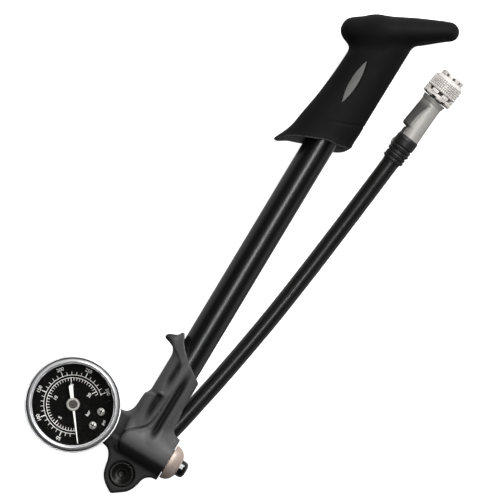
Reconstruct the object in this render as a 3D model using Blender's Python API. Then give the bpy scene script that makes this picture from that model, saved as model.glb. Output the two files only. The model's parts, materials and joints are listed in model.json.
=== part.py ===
"""Hand-held suspension pump: T-handled piston pump, dial gauge, swivel hose and screw-on chuck.

Units below are millimetres; shapes are scaled to metres when their objects are made.
Frame: the origin is on the hose swivel's axis, in the plane that the pump lies on.
+Y runs along the barrel towards the handle, +Z out of the gauge's face, +X away from the gauge.
"""

import math

import bmesh
import bpy
from mathutils import Matrix, Vector

MM = 0.001
GAP = 0.3                       # clearance kept between neighbouring pieces

# Barrel and rod
BARREL_Z = 15.0                 # height of the barrel's axis
BARREL_R = 7.15
BARREL_BORE_R = 6.2
BARREL_FOOT_Y = 39.0
BARREL_TOP_Y = 228.0
ROD_R = 3.0

# Foot
CROSS_Y = 16.2                  # cross tube between the gauge and the bleeder
CROSS_Z = 17.0
CROSS_R = 9.7
FOOT_FACE_X = 15.3              # machined end of the cross tube
FOOT_BACK_Z = 8.7               # leaves the hose free to swing underneath
LUG_FRONT_Z = 22.0
LUG_STEP = 0.96                 # the lug's raised front, as a share of its outline
NECK_FRONT_Z = 21.0
COLLAR_R = 8.95
COUNTERBORE_R = 6.2
COUNTERBORE_FLOOR_Z = 18.3

# Swivel
POST_R = 3.5
POST_FLANGE_R = 5.4
EYE_R = 7.9
HOSE_Z = 4.25                   # height of the hose's axis where it lies flat
HOSE_HEADING = math.radians(19.0)
HOSE_R = 4.1
FERRULE_START = 10.3
FERRULE_END = 20.0

# Gauge
GAUGE_X = -35.9
GAUGE_Y = 16.2
GAUGE_R = 22.3
CASE_R = 20.6
CASE_TOP_Z = 22.4
DIAL_R = 19.0
DIAL_Z = 21.6
NEEDLE_REST = math.radians(-52.2)
PINION_TEETH = 10
SECTOR_TEETH = 32               # number on the full circle that the sector is a part of
GEAR_CENTRES = 10.5             # distance from the needle's axis to the sector's

# Bleeder valve
DOME_R = 8.4
BUTTON_R = 4.0

# Chuck, measured along its own axis from the flange
CHUCK_ORIGIN = Vector((35.0, 222.0, 7.7))
CHUCK_HEADING = math.radians(8.9)
LEVER_PIN_S = -12.7
LEVER_PIN_Z = 5.6
RELIEF_FOOT = Vector((32.70, 189.3, 8.2))
RELIEF_HEAD = Vector((33.92, 201.6, 8.7))
STEM_FOOT = Vector((34.35, 202.4, 8.9))
STEM_HEAD = Vector((35.10, 221.0, 7.9))

# Route of the hose's centre line, from the ferrule to the strain relief
HOSE_ROUTE = [
    (6.61, 19.20, 4.25),
    (9.05, 26.50, 4.25),
    (10.35, 32.00, 4.25),
    (11.75, 38.50, 4.25),
    (13.30, 46.50, 4.25),
    (15.20, 56.00, 4.25),
    (17.05, 66.00, 4.25),
    (18.95, 77.00, 4.25),
    (20.90, 89.00, 4.30),
    (22.70, 101.00, 4.35),
    (24.40, 114.00, 4.45),
    (26.00, 127.00, 4.70),
    (27.60, 141.00, 5.20),
    (29.20, 155.50, 5.95),
    (30.90, 171.50, 7.00),
    (31.90, 181.00, 7.70),
    (32.67, 188.98, 8.18),
]

# Outline of the foot seen from the front, without its collar
FOOT_OUTLINE = [
    (-16.5, 25.2), (-13.2, 25.9), (-11.3, 28.2), (-10.4, 31.5), (-10.2, 37.0), (-8.0, 39.4),
    (0.0, 40.0), (8.0, 39.0), (9.4, 33.0), (10.2, 29.3), (12.0, 27.3), (14.9, 26.3),
    (14.9, 6.1), (12.9, 5.9), (11.1, 4.9), (9.8, 3.6), (9.1, 2.0), (8.7, -0.3), (7.9, -2.9), (6.8, -4.9),
    (5.2, -6.5), (2.8, -8.2), (0.8, -9.6), (0.0, -9.8), (-0.8, -9.6), (-3.0, -8.3), (-4.8, -7.0),
    (-6.5, -5.1), (-7.5, -3.2), (-8.3, -0.2), (-8.7, 2.2), (-9.6, 4.4), (-11.0, 6.5), (-13.0, 7.8),
    (-16.5, 8.3),
]
HORN_OUTLINE = [
    (-7.0, 60.2), (-8.8, 61.7), (-11.0, 63.4), (-14.2, 64.6), (-15.0, 65.6), (-14.1, 66.8),
    (-11.3, 67.9), (-9.4, 69.1), (-8.4, 70.7), (-6.6, 68.6), (-4.6, 65.0), (-3.0, 61.0),
]
COLLAR_RIM_LEFT = (-8.5, 70.7)
COLLAR_RIM_RIGHT = (9.2, 54.0)

# Handle sleeve: station, left edge, right edge, half depth
SLEEVE_STATIONS = [
    (162.0, -20.6, 13.0, 13.6),
    (172.0, -18.6, 13.1, 13.6),
    (179.0, -15.9, 13.2, 13.4),
    (188.0, -14.5, 13.5, 13.1),
    (197.0, -13.1, 13.5, 12.8),
    (208.0, -11.9, 13.6, 12.6),
    (220.0, -11.1, 13.7, 12.8),
    (231.0, -10.4, 13.6, 13.4),
    (238.0, -8.0, 12.6, 12.6),
    (242.0, -4.0, 9.5, 9.0),
]
# Palm bar: centre, half width in the pump's plane, half depth
PALM_STATIONS = [
    ((-19.2, 229.4), 1.6, 2.6),
    ((-18.1, 229.8), 3.9, 6.0),
    ((-15.6, 231.0), 5.5, 9.2),
    ((-8.2, 235.2), 6.5, 12.8),
    ((0.0, 239.6), 7.3, 15.0),
    ((10.0, 245.2), 7.2, 14.4),
    ((18.0, 249.7), 6.1, 12.0),
    ((24.0, 253.0), 5.1, 9.0),
    ((27.6, 254.3), 3.7, 5.6),
    ((28.9, 254.9), 1.6, 2.4),
]
RIM_AT_AXIS_Y = 179.2
RIM_SLOPE_X = 0.41
RIM_SLOPE_Z = 0.13
INLAY_CENTRE = (-1.2, 211.2)
INLAY_LENGTH = 23.2
INLAY_WIDTH = 4.0

COLOURS = {
    "nylon": ((0.045, 0.045, 0.047), 0.0, 0.55),
    "anodised_black": ((0.012, 0.012, 0.013), 0.6, 0.32),
    "soft_grip": ((0.012, 0.012, 0.013), 0.0, 0.62),
    "inlay_grey": ((0.22, 0.22, 0.21), 0.0, 0.5),
    "hose_rubber": ((0.010, 0.010, 0.010), 0.0, 0.42),
    "boot_rubber": ((0.012, 0.012, 0.012), 0.0, 0.6),
    "seal_rubber": ((0.015, 0.015, 0.015), 0.0, 0.7),
    "nickel": ((0.72, 0.69, 0.66), 1.0, 0.22),
    "satin_metal": ((0.55, 0.53, 0.50), 1.0, 0.42),
    "steel": ((0.55, 0.55, 0.56), 1.0, 0.3),
    "black_steel": ((0.02, 0.02, 0.02), 0.7, 0.3),
    "chrome": ((0.85, 0.85, 0.86), 1.0, 0.08),
    "brass": ((0.70, 0.50, 0.22), 1.0, 0.3),
    "dial_black": ((0.006, 0.006, 0.006), 0.0, 0.3),
    "needle_white": ((0.85, 0.85, 0.83), 0.0, 0.4),
    "clear_lens": ((0.95, 0.97, 0.97), 0.0, 0.05),
    "button_black": ((0.01, 0.01, 0.01), 0.0, 0.12),
}


# ---------------------------------------------------------------- general helpers

def clear_scene():
    for obj in list(bpy.data.objects):
        bpy.data.objects.remove(obj, do_unlink=True)


def material(name):
    """Return the named Principled material, made on first use."""
    found = bpy.data.materials.get(name)
    if found:
        return found
    colour, metallic, roughness = COLOURS[name]
    made = bpy.data.materials.new(name)
    made.use_nodes = True
    shader = made.node_tree.nodes["Principled BSDF"]
    shader.inputs["Base Color"].default_value = (*colour, 1.0)
    shader.inputs["Metallic"].default_value = metallic
    shader.inputs["Roughness"].default_value = roughness
    if name == "clear_lens":
        shader.inputs["Transmission Weight"].default_value = 1.0
    return made


def body_origin(name, location):
    """Return an empty that stands on a moving body's joint axis."""
    empty = bpy.data.objects.new(name, None)
    empty.location = Vector(location) * MM
    bpy.context.scene.collection.objects.link(empty)
    return empty


def make_object(name, solid, material_name, parent=None, sharp_angle=35.0):
    """Turn a solid in millimetres into a named object in metres and free the solid."""
    bmesh.ops.remove_doubles(solid, verts=solid.verts, dist=1e-4)
    bmesh.ops.recalc_face_normals(solid, faces=solid.faces)
    bmesh.ops.scale(solid, vec=(MM, MM, MM), verts=solid.verts)
    mesh = bpy.data.meshes.new(name)
    solid.to_mesh(mesh)
    solid.free()
    mesh.materials.append(material(material_name))
    mesh.shade_smooth()
    mesh.set_sharp_from_angle(angle=math.radians(sharp_angle))
    obj = bpy.data.objects.new(name, mesh)
    bpy.context.scene.collection.objects.link(obj)
    if parent:
        obj.parent = parent
        obj.matrix_parent_inverse = Matrix.Translation(-parent.location)
    return obj


def boolean(first, second, operation):
    """Join or cut two solids with the exact Boolean modifier; both inputs are freed."""
    operands = []
    for solid in (first, second):
        bmesh.ops.recalc_face_normals(solid, faces=solid.faces)
        mesh = bpy.data.meshes.new("operand")
        solid.to_mesh(mesh)
        solid.free()
        operand = bpy.data.objects.new("operand", mesh)
        bpy.context.scene.collection.objects.link(operand)
        operands.append(operand)
    modifier = operands[0].modifiers.new("combine", "BOOLEAN")
    modifier.operation = operation
    modifier.solver = "EXACT"
    modifier.object = operands[1]
    evaluated = operands[0].evaluated_get(bpy.context.evaluated_depsgraph_get())
    result = bmesh.new()
    result.from_mesh(evaluated.to_mesh())
    evaluated.to_mesh_clear()
    for operand in operands:
        mesh = operand.data
        bpy.data.objects.remove(operand, do_unlink=True)
        bpy.data.meshes.remove(mesh)
    return result


def join(solid, *others):
    for other in others:
        solid = boolean(solid, other, "UNION")
    return solid


def cut(solid, *others):
    for other in others:
        solid = boolean(solid, other, "DIFFERENCE")
    return solid


def axis_frame(origin, direction, up=(0.0, 0.0, 1.0)):
    """Return a frame whose Z runs along direction and whose Y is as close to up as it can be."""
    z_axis = Vector(direction).normalized()
    x_axis = Vector(up).cross(z_axis)
    if x_axis.length < 1e-6:
        x_axis = Vector((1.0, 0.0, 0.0))
    x_axis.normalize()
    y_axis = z_axis.cross(x_axis)
    frame = Matrix((x_axis, y_axis, z_axis)).transposed().to_4x4()
    frame.translation = Vector(origin)
    return frame


def bridge(solid, lower, upper):
    """Join two rings of vertices, either of which may be a single point."""
    count = max(len(lower), len(upper))
    if count == 1:
        return
    for k in range(count):
        following = (k + 1) % count
        corners = []
        for vertex in (lower[k % len(lower)], lower[following % len(lower)],
                       upper[following % len(upper)], upper[k % len(upper)]):
            if vertex not in corners:
                corners.append(vertex)
        solid.faces.new(corners)


def lathe(profile, frame=None, segments=32):
    """Turn a closed profile of (radius, height) points about the frame's Z axis."""
    frame = frame or Matrix.Identity(4)
    solid = bmesh.new()
    rings = []
    for radius, height in profile:
        if radius < 1e-6:
            rings.append([solid.verts.new(frame @ Vector((0.0, 0.0, height)))])
            continue
        ring = []
        for k in range(segments):
            angle = 2.0 * math.pi * k / segments
            ring.append(solid.verts.new(frame @ Vector((radius * math.cos(angle),
                                                        radius * math.sin(angle), height))))
        rings.append(ring)
    for lower, upper in zip(rings, rings[1:] + rings[:1]):
        bridge(solid, lower, upper)
    return solid


def tube(outer_r, inner_r, start, end, frame=None, segments=32):
    return lathe([(outer_r, start), (outer_r, end), (inner_r, end), (inner_r, start)], frame, segments)


def rod(radius, start, end, segments=24):
    """Return a plain cylinder between two points."""
    start = Vector(start)
    span = Vector(end) - start
    return lathe([(0.0, 0.0), (radius, 0.0), (radius, span.length), (0.0, span.length)],
                 axis_frame(start, span), segments)


def loft(rings):
    """Skin a list of rings of equal length and close both ends."""
    solid = bmesh.new()
    made = [[solid.verts.new(point) for point in ring] for ring in rings]
    for lower, upper in zip(made, made[1:]):
        bridge(solid, lower, upper)
    solid.faces.new(list(reversed(made[0])))
    solid.faces.new(made[-1])
    return solid


def prism(outline, bottom, top, frame=None):
    """Extrude an outline of (x, y) points along the frame's Z axis."""
    frame = frame or Matrix.Identity(4)
    return loft([[frame @ Vector((x, y, height)) for x, y in outline] for height in (bottom, top)])


def block(low, high):
    (x0, y0, z0), (x1, y1, z1) = low, high
    return prism([(x0, y0), (x1, y0), (x1, y1), (x0, y1)], z0, z1)


def catmull_rom(points, steps):
    """Return points on a smooth curve through the given ones."""
    points = [Vector(point) for point in points]
    curve = []
    for k in range(len(points) - 1):
        b, c = points[k], points[k + 1]
        a = points[k - 1] if k else 2.0 * b - c
        d = points[k + 2] if k + 2 < len(points) else 2.0 * c - b
        for step in range(steps):
            t = step / steps
            curve.append(0.5 * (2.0 * b + (c - a) * t + (2.0 * a - 5.0 * b + 4.0 * c - d) * t ** 2
                                + (3.0 * b - a - 3.0 * c + d) * t ** 3))
    curve.append(points[-1])
    return curve


def superellipse(centre, half_width, half_depth, power, count, across, upward):
    """Return a ring of points round a centre, squarer as the power grows."""
    ring = []
    for k in range(count):
        angle = 2.0 * math.pi * k / count
        c, s = math.cos(angle), math.sin(angle)
        u = math.copysign(abs(c) ** (2.0 / power), c) * half_width
        v = math.copysign(abs(s) ** (2.0 / power), s) * half_depth
        ring.append(Vector(centre) + Vector(across) * u + Vector(upward) * v)
    return ring


def helix(radius, wire_r, start, end, turns, frame, steps=9, sides=4):
    """Return a coil spring's wire about the frame's Z axis."""
    count = int(turns * steps) + 1
    rings = []
    for k in range(count):
        angle = 2.0 * math.pi * k / steps
        height = start + wire_r + (end - start - 2.0 * wire_r) * k / (count - 1)
        outward = Vector((math.cos(angle), math.sin(angle), 0.0))
        ring = []
        for side in range(sides):
            turn = 2.0 * math.pi * side / sides
            offset = outward * (radius + wire_r * math.cos(turn))
            ring.append(frame @ (offset + Vector((0.0, 0.0, height + wire_r * math.sin(turn)))))
        rings.append(ring)
    return loft(rings)


def torus(major_r, minor_r, height, frame, segments=20, sides=6):
    profile = []
    for k in range(sides):
        angle = 2.0 * math.pi * k / sides
        profile.append((major_r + minor_r * math.cos(angle), height + minor_r * math.sin(angle)))
    return lathe(profile, frame, segments)


def barrel_frame():
    return axis_frame((0.0, 0.0, BARREL_Z), (0.0, 1.0, 0.0))


def gauge_frame():
    return Matrix.Translation((GAUGE_X, GAUGE_Y, 0.0))


def bleeder_frame():
    return axis_frame((0.0, CROSS_Y, CROSS_Z), (1.0, 0.0, 0.0))


def chuck_direction():
    return Vector((math.sin(CHUCK_HEADING), math.cos(CHUCK_HEADING), 0.0))


def chuck_frame():
    return axis_frame(CHUCK_ORIGIN, chuck_direction())


def chuck_point(along, across=0.0, height=None):
    """Return a point given along and across the chuck's axis, at a height above the ground."""
    forward = chuck_direction()
    sideways = Vector((forward.y, -forward.x, 0.0))
    point = CHUCK_ORIGIN + forward * along + sideways * across
    if height is not None:
        point.z = height
    return point


def hose_point(distance, height=HOSE_Z):
    """Return a point on the swivel fitting's own line, at a distance from the swivel's axis."""
    return Vector((distance * math.sin(HOSE_HEADING), distance * math.cos(HOSE_HEADING), height))


# ---------------------------------------------------------------- foot and barrel

def make_base_body():
    solid = prism(FOOT_OUTLINE, FOOT_BACK_Z + GAP, NECK_FRONT_Z)
    lug_outline = [(x * LUG_STEP, y * LUG_STEP) for x, y in FOOT_OUTLINE if y < 7.5]
    lug_top = prism(lug_outline, 12.0, LUG_FRONT_Z)
    cross = rod(CROSS_R, (-9.0, CROSS_Y, CROSS_Z), (FOOT_FACE_X, CROSS_Y, CROSS_Z), 32)
    collar = rod(COLLAR_R, (0.0, 22.0, BARREL_Z), (0.0, 74.0, BARREL_Z), 32)
    horn = prism(HORN_OUTLINE, BARREL_Z - 6.5, BARREL_Z + 6.5)
    solid = join(solid, lug_top, cross, collar, horn)

    swing_space = block((-40.0, -20.0, 0.0), (40.0, 37.0, FOOT_BACK_Z))
    left, right = Vector(COLLAR_RIM_LEFT), Vector(COLLAR_RIM_RIGHT)
    slope = (right - left).normalized()
    low_left, low_right = left - slope * 12.0, right + slope * 30.0
    above_rim = prism([(low_left.x, low_left.y), (low_right.x, low_right.y),
                       (low_right.x, 120.0), (low_left.x, 120.0)], 0.0, 40.0)
    case_seat = lathe([(0.0, -5.0), (CASE_R + GAP, -5.0), (CASE_R + GAP, 40.0), (0.0, 40.0)],
                      gauge_frame(), 64)
    solid = cut(solid, swing_space, above_rim, case_seat)

    barrel_bore = rod(BARREL_R + GAP, (0.0, 37.6, BARREL_Z), (0.0, 130.0, BARREL_Z), 36)
    valve_chamber = rod(4.2, (0.0, 28.0, BARREL_Z), (0.0, 37.9, BARREL_Z), 16)
    air_way = rod(1.2, (0.0, 2.9, BARREL_Z), (0.0, 28.3, BARREL_Z), 10)
    bleeder_bore = rod(6.2, (4.0, CROSS_Y, CROSS_Z), (20.0, CROSS_Y, CROSS_Z), 20)
    cross_way = rod(2.7, (-6.5, CROSS_Y, CROSS_Z), (4.4, CROSS_Y, CROSS_Z), 12)
    socket_bore = rod(4.1, (-20.0, CROSS_Y, CROSS_Z), (-6.0, CROSS_Y, CROSS_Z), 16)
    pivot_bore = rod(POST_R + GAP, (0.0, 0.0, 0.0), (0.0, 0.0, 16.3), 20)
    screw_hole = rod(2.5, (0.0, 0.0, 16.0), (0.0, 0.0, 20.0), 12)
    counterbore = rod(COUNTERBORE_R, (0.0, 0.0, COUNTERBORE_FLOOR_Z), (0.0, 0.0, 40.0), 32)
    solid = cut(solid, barrel_bore, valve_chamber, air_way, bleeder_bore, cross_way, socket_bore,
                pivot_bore, screw_hole, counterbore)
    make_object("base_body", solid, "nylon", sharp_angle=40.0)


def make_barrel():
    frame = barrel_frame()
    bevel = 0.4
    make_object("barrel_tube", lathe([
        (BARREL_R, BARREL_FOOT_Y + bevel), (BARREL_R, BARREL_TOP_Y - bevel),
        (BARREL_R - bevel, BARREL_TOP_Y), (BARREL_BORE_R, BARREL_TOP_Y),
        (BARREL_BORE_R, BARREL_FOOT_Y), (BARREL_R - bevel, BARREL_FOOT_Y),
    ], frame, 36), "anodised_black")
    make_object("barrel_seal", tube(BARREL_R - 0.2, 4.6, 37.9, BARREL_FOOT_Y - GAP, frame), "seal_rubber")
    make_object("barrel_gland", lathe([
        (BARREL_BORE_R - GAP, 220.0), (BARREL_BORE_R - GAP, BARREL_TOP_Y + GAP),
        (BARREL_R, BARREL_TOP_Y + GAP), (BARREL_R, BARREL_TOP_Y + 1.9),
        (BARREL_R - 0.6, BARREL_TOP_Y + 2.4), (ROD_R + GAP, BARREL_TOP_Y + 2.4), (ROD_R + GAP, 220.0),
    ], frame, 28), "nylon")
    make_object("rod_wiper", lathe([
        (5.6, BARREL_TOP_Y + 2.7), (5.2, BARREL_TOP_Y + 3.8), (ROD_R + GAP, BARREL_TOP_Y + 4.2),
        (ROD_R + GAP, BARREL_TOP_Y + 2.7),
    ], frame), "seal_rubber")


def make_check_valve():
    frame = barrel_frame()
    ball = body_origin("check_valve_origin", (0.0, 32.3, BARREL_Z))
    make_object("check_valve_seat", tube(3.9, 1.2, 34.7, 37.5, frame, 24), "brass")
    ball_r = 1.9
    profile = [(ball_r * math.sin(math.pi * k / 6), 32.3 - ball_r * math.cos(math.pi * k / 6))
               for k in range(7)]
    make_object("check_valve_ball", lathe(profile, frame, 12), "steel", ball)
    make_object("check_valve_spring", helix(2.4, 0.3, 28.3, 30.9, 2.5, frame), "steel")


def make_swivel():
    upright = Matrix.Identity(4)
    make_object("pivot_post", lathe([
        (0.0, 0.0), (POST_FLANGE_R - 0.4, 0.0), (POST_FLANGE_R, 0.4), (POST_FLANGE_R, 1.6),
        (POST_R, 1.6), (POST_R, 16.0), (2.2, 16.0), (2.2, 4.0), (0.0, 4.0),
    ], upright, 24), "steel")
    head_r = 5.0
    head_z = COUNTERBORE_FLOOR_Z + GAP
    screw = lathe([
        (0.0, 5.0), (1.9, 5.0), (1.9, head_z), (head_r, head_z), (head_r, head_z + 0.8),
        (head_r - 0.5, head_z + 1.7), (head_r - 1.6, head_z + 2.5), (2.4, head_z + 2.8),
        (0.0, head_z + 2.8),
    ], upright, 24)
    hexagon = [(1.75 * math.cos(math.pi * k / 3), 1.75 * math.sin(math.pi * k / 3)) for k in range(6)]
    make_object("pivot_screw", cut(screw, prism(hexagon, head_z + 1.0, head_z + 5.0)), "black_steel")


def make_swivel_eye(hose_body):
    upright = Matrix.Identity(4)
    bore_r = POST_R + 0.4
    eye = lathe([
        (EYE_R - 0.5, GAP), (EYE_R, GAP + 0.5), (EYE_R, 7.8), (EYE_R - 0.5, 8.3),
        (bore_r, 8.3), (bore_r, 7.4), (bore_r + 1.0, 7.4), (bore_r + 1.0, 6.2), (bore_r, 6.2),
        (bore_r, 3.4), (bore_r + 1.0, 3.4), (bore_r + 1.0, 2.2), (POST_FLANGE_R + 0.4, 2.2),
        (POST_FLANGE_R + 0.4, GAP),
    ], upright, 28)
    spigot = rod(3.4, hose_point(6.4), hose_point(FERRULE_START - GAP))
    barb = rod(2.5, hose_point(8.0), hose_point(FERRULE_END - 1.0), 16)
    bore = rod(1.0, hose_point(2.0), hose_point(FERRULE_END + 2.0), 12)
    make_object("swivel_eye", cut(join(eye, spigot, barb), bore), "black_steel", hose_body)
    for name, height in (("swivel_o_ring_lower", 2.8), ("swivel_o_ring_upper", 6.8)):
        make_object(name, torus(bore_r + 0.4, 0.45, height, upright), "seal_rubber", hose_body)
    ferrule_frame = axis_frame(hose_point(0.0), hose_point(1.0) - hose_point(0.0))
    make_object("hose_ferrule", lathe([
        (3.7, FERRULE_START), (4.1, FERRULE_START + 0.5), (4.1, FERRULE_END - 0.5), (3.7, FERRULE_END),
        (3.1, FERRULE_END), (3.1, FERRULE_START),
    ], ferrule_frame, 24), "nickel", hose_body)


# ---------------------------------------------------------------- gauge

def make_gauge_case():
    frame = gauge_frame()
    case = lathe([
        (0.0, 0.0), (CASE_R - 1.4, 0.0), (CASE_R - 0.4, 0.5), (CASE_R, 1.6), (CASE_R, CASE_TOP_Z),
        (CASE_R - 1.0, CASE_TOP_Z), (CASE_R - 1.0, 1.6), (0.0, 1.6),
    ], frame, 40)
    stem_hole = rod(4.1, (GAUGE_X + 10.0, GAUGE_Y, CROSS_Z), (GAUGE_X + 30.0, GAUGE_Y, CROSS_Z), 20)
    make_object("gauge_case", cut(case, stem_hole), "black_steel")
    make_object("gauge_bezel", lathe([
        (GAUGE_R - 0.5, CASE_TOP_Z + GAP), (GAUGE_R, CASE_TOP_Z + 0.9), (GAUGE_R, 25.2),
        (GAUGE_R - 0.4, 25.7), (GAUGE_R - 1.0, 25.8), (GAUGE_R - 1.1, 26.3), (GAUGE_R - 0.9, 27.0),
        (GAUGE_R - 1.2, 28.6), (GAUGE_R - 1.9, 29.4), (DIAL_R + 0.5, 28.9), (DIAL_R, 28.2),
        (DIAL_R, 27.6), (DIAL_R + 1.2, 27.6), (DIAL_R + 1.2, CASE_TOP_Z + GAP),
    ], frame, 40), "chrome")
    make_object("gauge_lens", lathe([
        (0.0, 26.0), (DIAL_R + 0.8, 26.0), (DIAL_R + 0.8, 27.3), (0.0, 27.3),
    ], frame, 40), "clear_lens")


def make_gauge_dial():
    frame = gauge_frame()
    dial = tube(DIAL_R + 0.3, 1.5, DIAL_Z, DIAL_Z + 0.6, frame, 40)
    screws = [(GAUGE_X + 12.9, GAUGE_Y + offset) for offset in (3.7, -3.7)]
    for x, y in screws:
        dial = cut(dial, rod(1.1, (x, y, DIAL_Z - 1.0), (x, y, DIAL_Z + 2.0), 12))
    make_object("gauge_dial", dial, "dial_black")
    for name, (x, y) in zip(("dial_screw_upper", "dial_screw_lower"), screws):
        seat = DIAL_Z + 0.6 + GAP
        screw = lathe([
            (0.0, DIAL_Z - 1.0), (0.8, DIAL_Z - 1.0), (0.8, seat), (1.8, seat), (1.8, seat + 0.5),
            (1.3, seat + 0.9), (0.0, seat + 1.0),
        ], Matrix.Translation((x, y, 0.0)), 14)
        slot = block((x - 2.5, y - 0.22, seat + 0.55), (x + 2.5, y + 0.22, seat + 3.0))
        make_object(name, cut(screw, slot), "nickel")


def make_gauge_socket():
    stem = rod(3.7, (-7.2, GAUGE_Y, CROSS_Z), (-19.0, GAUGE_Y, CROSS_Z), 20)
    socket = join(stem, block((-24.4, GAUGE_Y - 5.0, 13.4), (-17.4, GAUGE_Y + 5.0, 20.4)))
    way = rod(1.1, (0.0, GAUGE_Y, CROSS_Z), (-22.0, GAUGE_Y, CROSS_Z), 10)
    make_object("gauge_socket", cut(socket, way), "brass")
    rings = []
    steps = 26
    for k in range(steps + 1):
        angle = math.radians(14.0 + 272.0 * k / steps)
        outward = Vector((math.cos(angle), math.sin(angle), 0.0))
        centre = Vector((GAUGE_X, GAUGE_Y, 10.3)) + outward * 15.6
        rings.append(superellipse(centre, 0.8, 2.6, 2.6, 8, outward, (0.0, 0.0, 1.0)))
    make_object("bourdon_tube", loft(rings), "brass")


def gear_outline(angles, pitch, tip_r, root_r):
    """Return the outline of the teeth centred on the given angles, thinned for backlash."""
    outline = []
    for angle in angles:
        for radius, offset in ((root_r, -0.27), (tip_r, -0.11), (tip_r, 0.11), (root_r, 0.27)):
            turned = angle + offset * pitch
            outline.append((radius * math.cos(turned), radius * math.sin(turned)))
    return outline


def make_movement(needle_body, sector_body):
    pivot_x = GAUGE_X - GEAR_CENTRES
    plate = block((pivot_x - 3.6, GAUGE_Y - 7.0, 14.6), (GAUGE_X + 10.6, GAUGE_Y + 7.0, 15.6))
    for x in (GAUGE_X, pivot_x):
        plate = cut(plate, rod(1.25, (x, GAUGE_Y, 13.0), (x, GAUGE_Y, 17.0), 16))
    make_object("movement_plate", plate, "brass")

    pinion_pitch = 2.0 * math.pi / PINION_TEETH
    teeth = [math.pi + pinion_pitch * (k + 0.5) for k in range(PINION_TEETH)]
    pinion = prism(gear_outline(teeth, pinion_pitch, 2.9, 1.85), 16.0, 18.4, gauge_frame())
    arbor = rod(0.8, (GAUGE_X, GAUGE_Y, 12.8), (GAUGE_X, GAUGE_Y, 23.5), 12)
    make_object("needle_pinion", join(pinion, arbor), "brass", needle_body)

    sector_pitch = 2.0 * math.pi / SECTOR_TEETH
    teeth = [sector_pitch * k for k in range(-8, 2)]
    outline = gear_outline(teeth, sector_pitch, 8.4, 7.4)
    outline += [(2.4 * math.cos(math.radians(a)), 2.4 * math.sin(math.radians(a)))
                for a in (60, 110, 160, 210)]
    frame = Matrix.Translation((pivot_x, GAUGE_Y, 0.0))
    staff = rod(0.9, (pivot_x, GAUGE_Y, 12.8), (pivot_x, GAUGE_Y, 19.2), 12)
    make_object("sector_gear", join(prism(outline, 16.4, 17.8, frame), staff), "brass", sector_body)


def make_needle(needle_body):
    """Pointer with a slim tip, a broad counterweight and a round hub."""
    pointer = [
        (18.2, 0.22), (3.0, 0.62), (-2.6, 0.95), (-8.2, 1.15), (-8.9, 0.6),
        (-8.9, -0.6), (-8.2, -1.15), (-2.6, -0.95), (3.0, -0.62), (18.2, -0.22),
    ]
    frame = gauge_frame() @ Matrix.Rotation(NEEDLE_REST, 4, "Z")
    blade = prism(pointer, 23.9, 24.3, frame)
    hub = lathe([(0.0, 23.7), (3.0, 23.7), (3.0, 24.7), (2.7, 25.0), (2.1, 25.0), (2.0, 24.6), (0.0, 24.6)],
                frame, 20)
    solid = cut(join(hub, blade), rod(1.1, (GAUGE_X, GAUGE_Y, 23.0), (GAUGE_X, GAUGE_Y, 24.1), 12))
    make_object("gauge_needle", solid, "needle_white", needle_body)


# ---------------------------------------------------------------- bleeder

def make_bleeder(button_body):
    frame = bleeder_frame()
    face = FOOT_FACE_X + GAP
    dome = [(DOME_R, face), (DOME_R, face + 0.8)]
    for k in range(1, 4):
        angle = math.radians(10.0 + 16.5 * k)
        dome.append((DOME_R * math.cos(angle) ** 0.72 * 1.01, face + 0.5 + 5.5 * math.sin(angle)))
    front = face + 5.7
    profile = [(5.9, 5.0), (5.9, face)] + dome
    profile += [(BUTTON_R + 0.7, front - 0.1), (BUTTON_R + 0.3, front), (BUTTON_R + 0.3, 18.6), (1.6, 18.6), (1.6, 5.0)]
    make_object("bleeder_housing", lathe(profile, frame, 28), "nickel")
    make_object("bleeder_button", lathe([
        (0.0, 23.4), (3.1, 23.4), (3.1, 20.7), (BUTTON_R, 20.7), (BUTTON_R, 23.2), (3.75, 24.1),
        (2.9, 24.8), (1.5, 25.1), (0.0, 25.15),
    ], frame, 20), "button_black", button_body)
    make_object("bleeder_pin", lathe([
        (0.0, 2.4), (2.0, 2.4), (2.0, 3.6), (1.2, 3.9), (1.2, 23.1), (0.0, 23.1),
    ], frame, 16), "brass", button_body)
    make_object("bleeder_seal", torus(1.95, 0.42, 4.35, frame, 16), "seal_rubber", button_body)
    make_object("bleeder_spring", helix(2.3, 0.3, 18.9, 21.6, 2.5, frame), "steel")


# ---------------------------------------------------------------- handle and piston

def rim_cutter():
    """Return the space below the slanted rim of the handle's sleeve."""
    corners = []
    for x, z in ((-40.0, -20.0), (40.0, -20.0), (40.0, 50.0), (-40.0, 50.0)):
        corners.append((x, z, RIM_AT_AXIS_Y + RIM_SLOPE_X * x + RIM_SLOPE_Z * (z - BARREL_Z)))
    return loft([[Vector((x, 120.0, z)) for x, z, y in corners],
                 [Vector((x, y, z)) for x, z, y in corners]])


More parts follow.
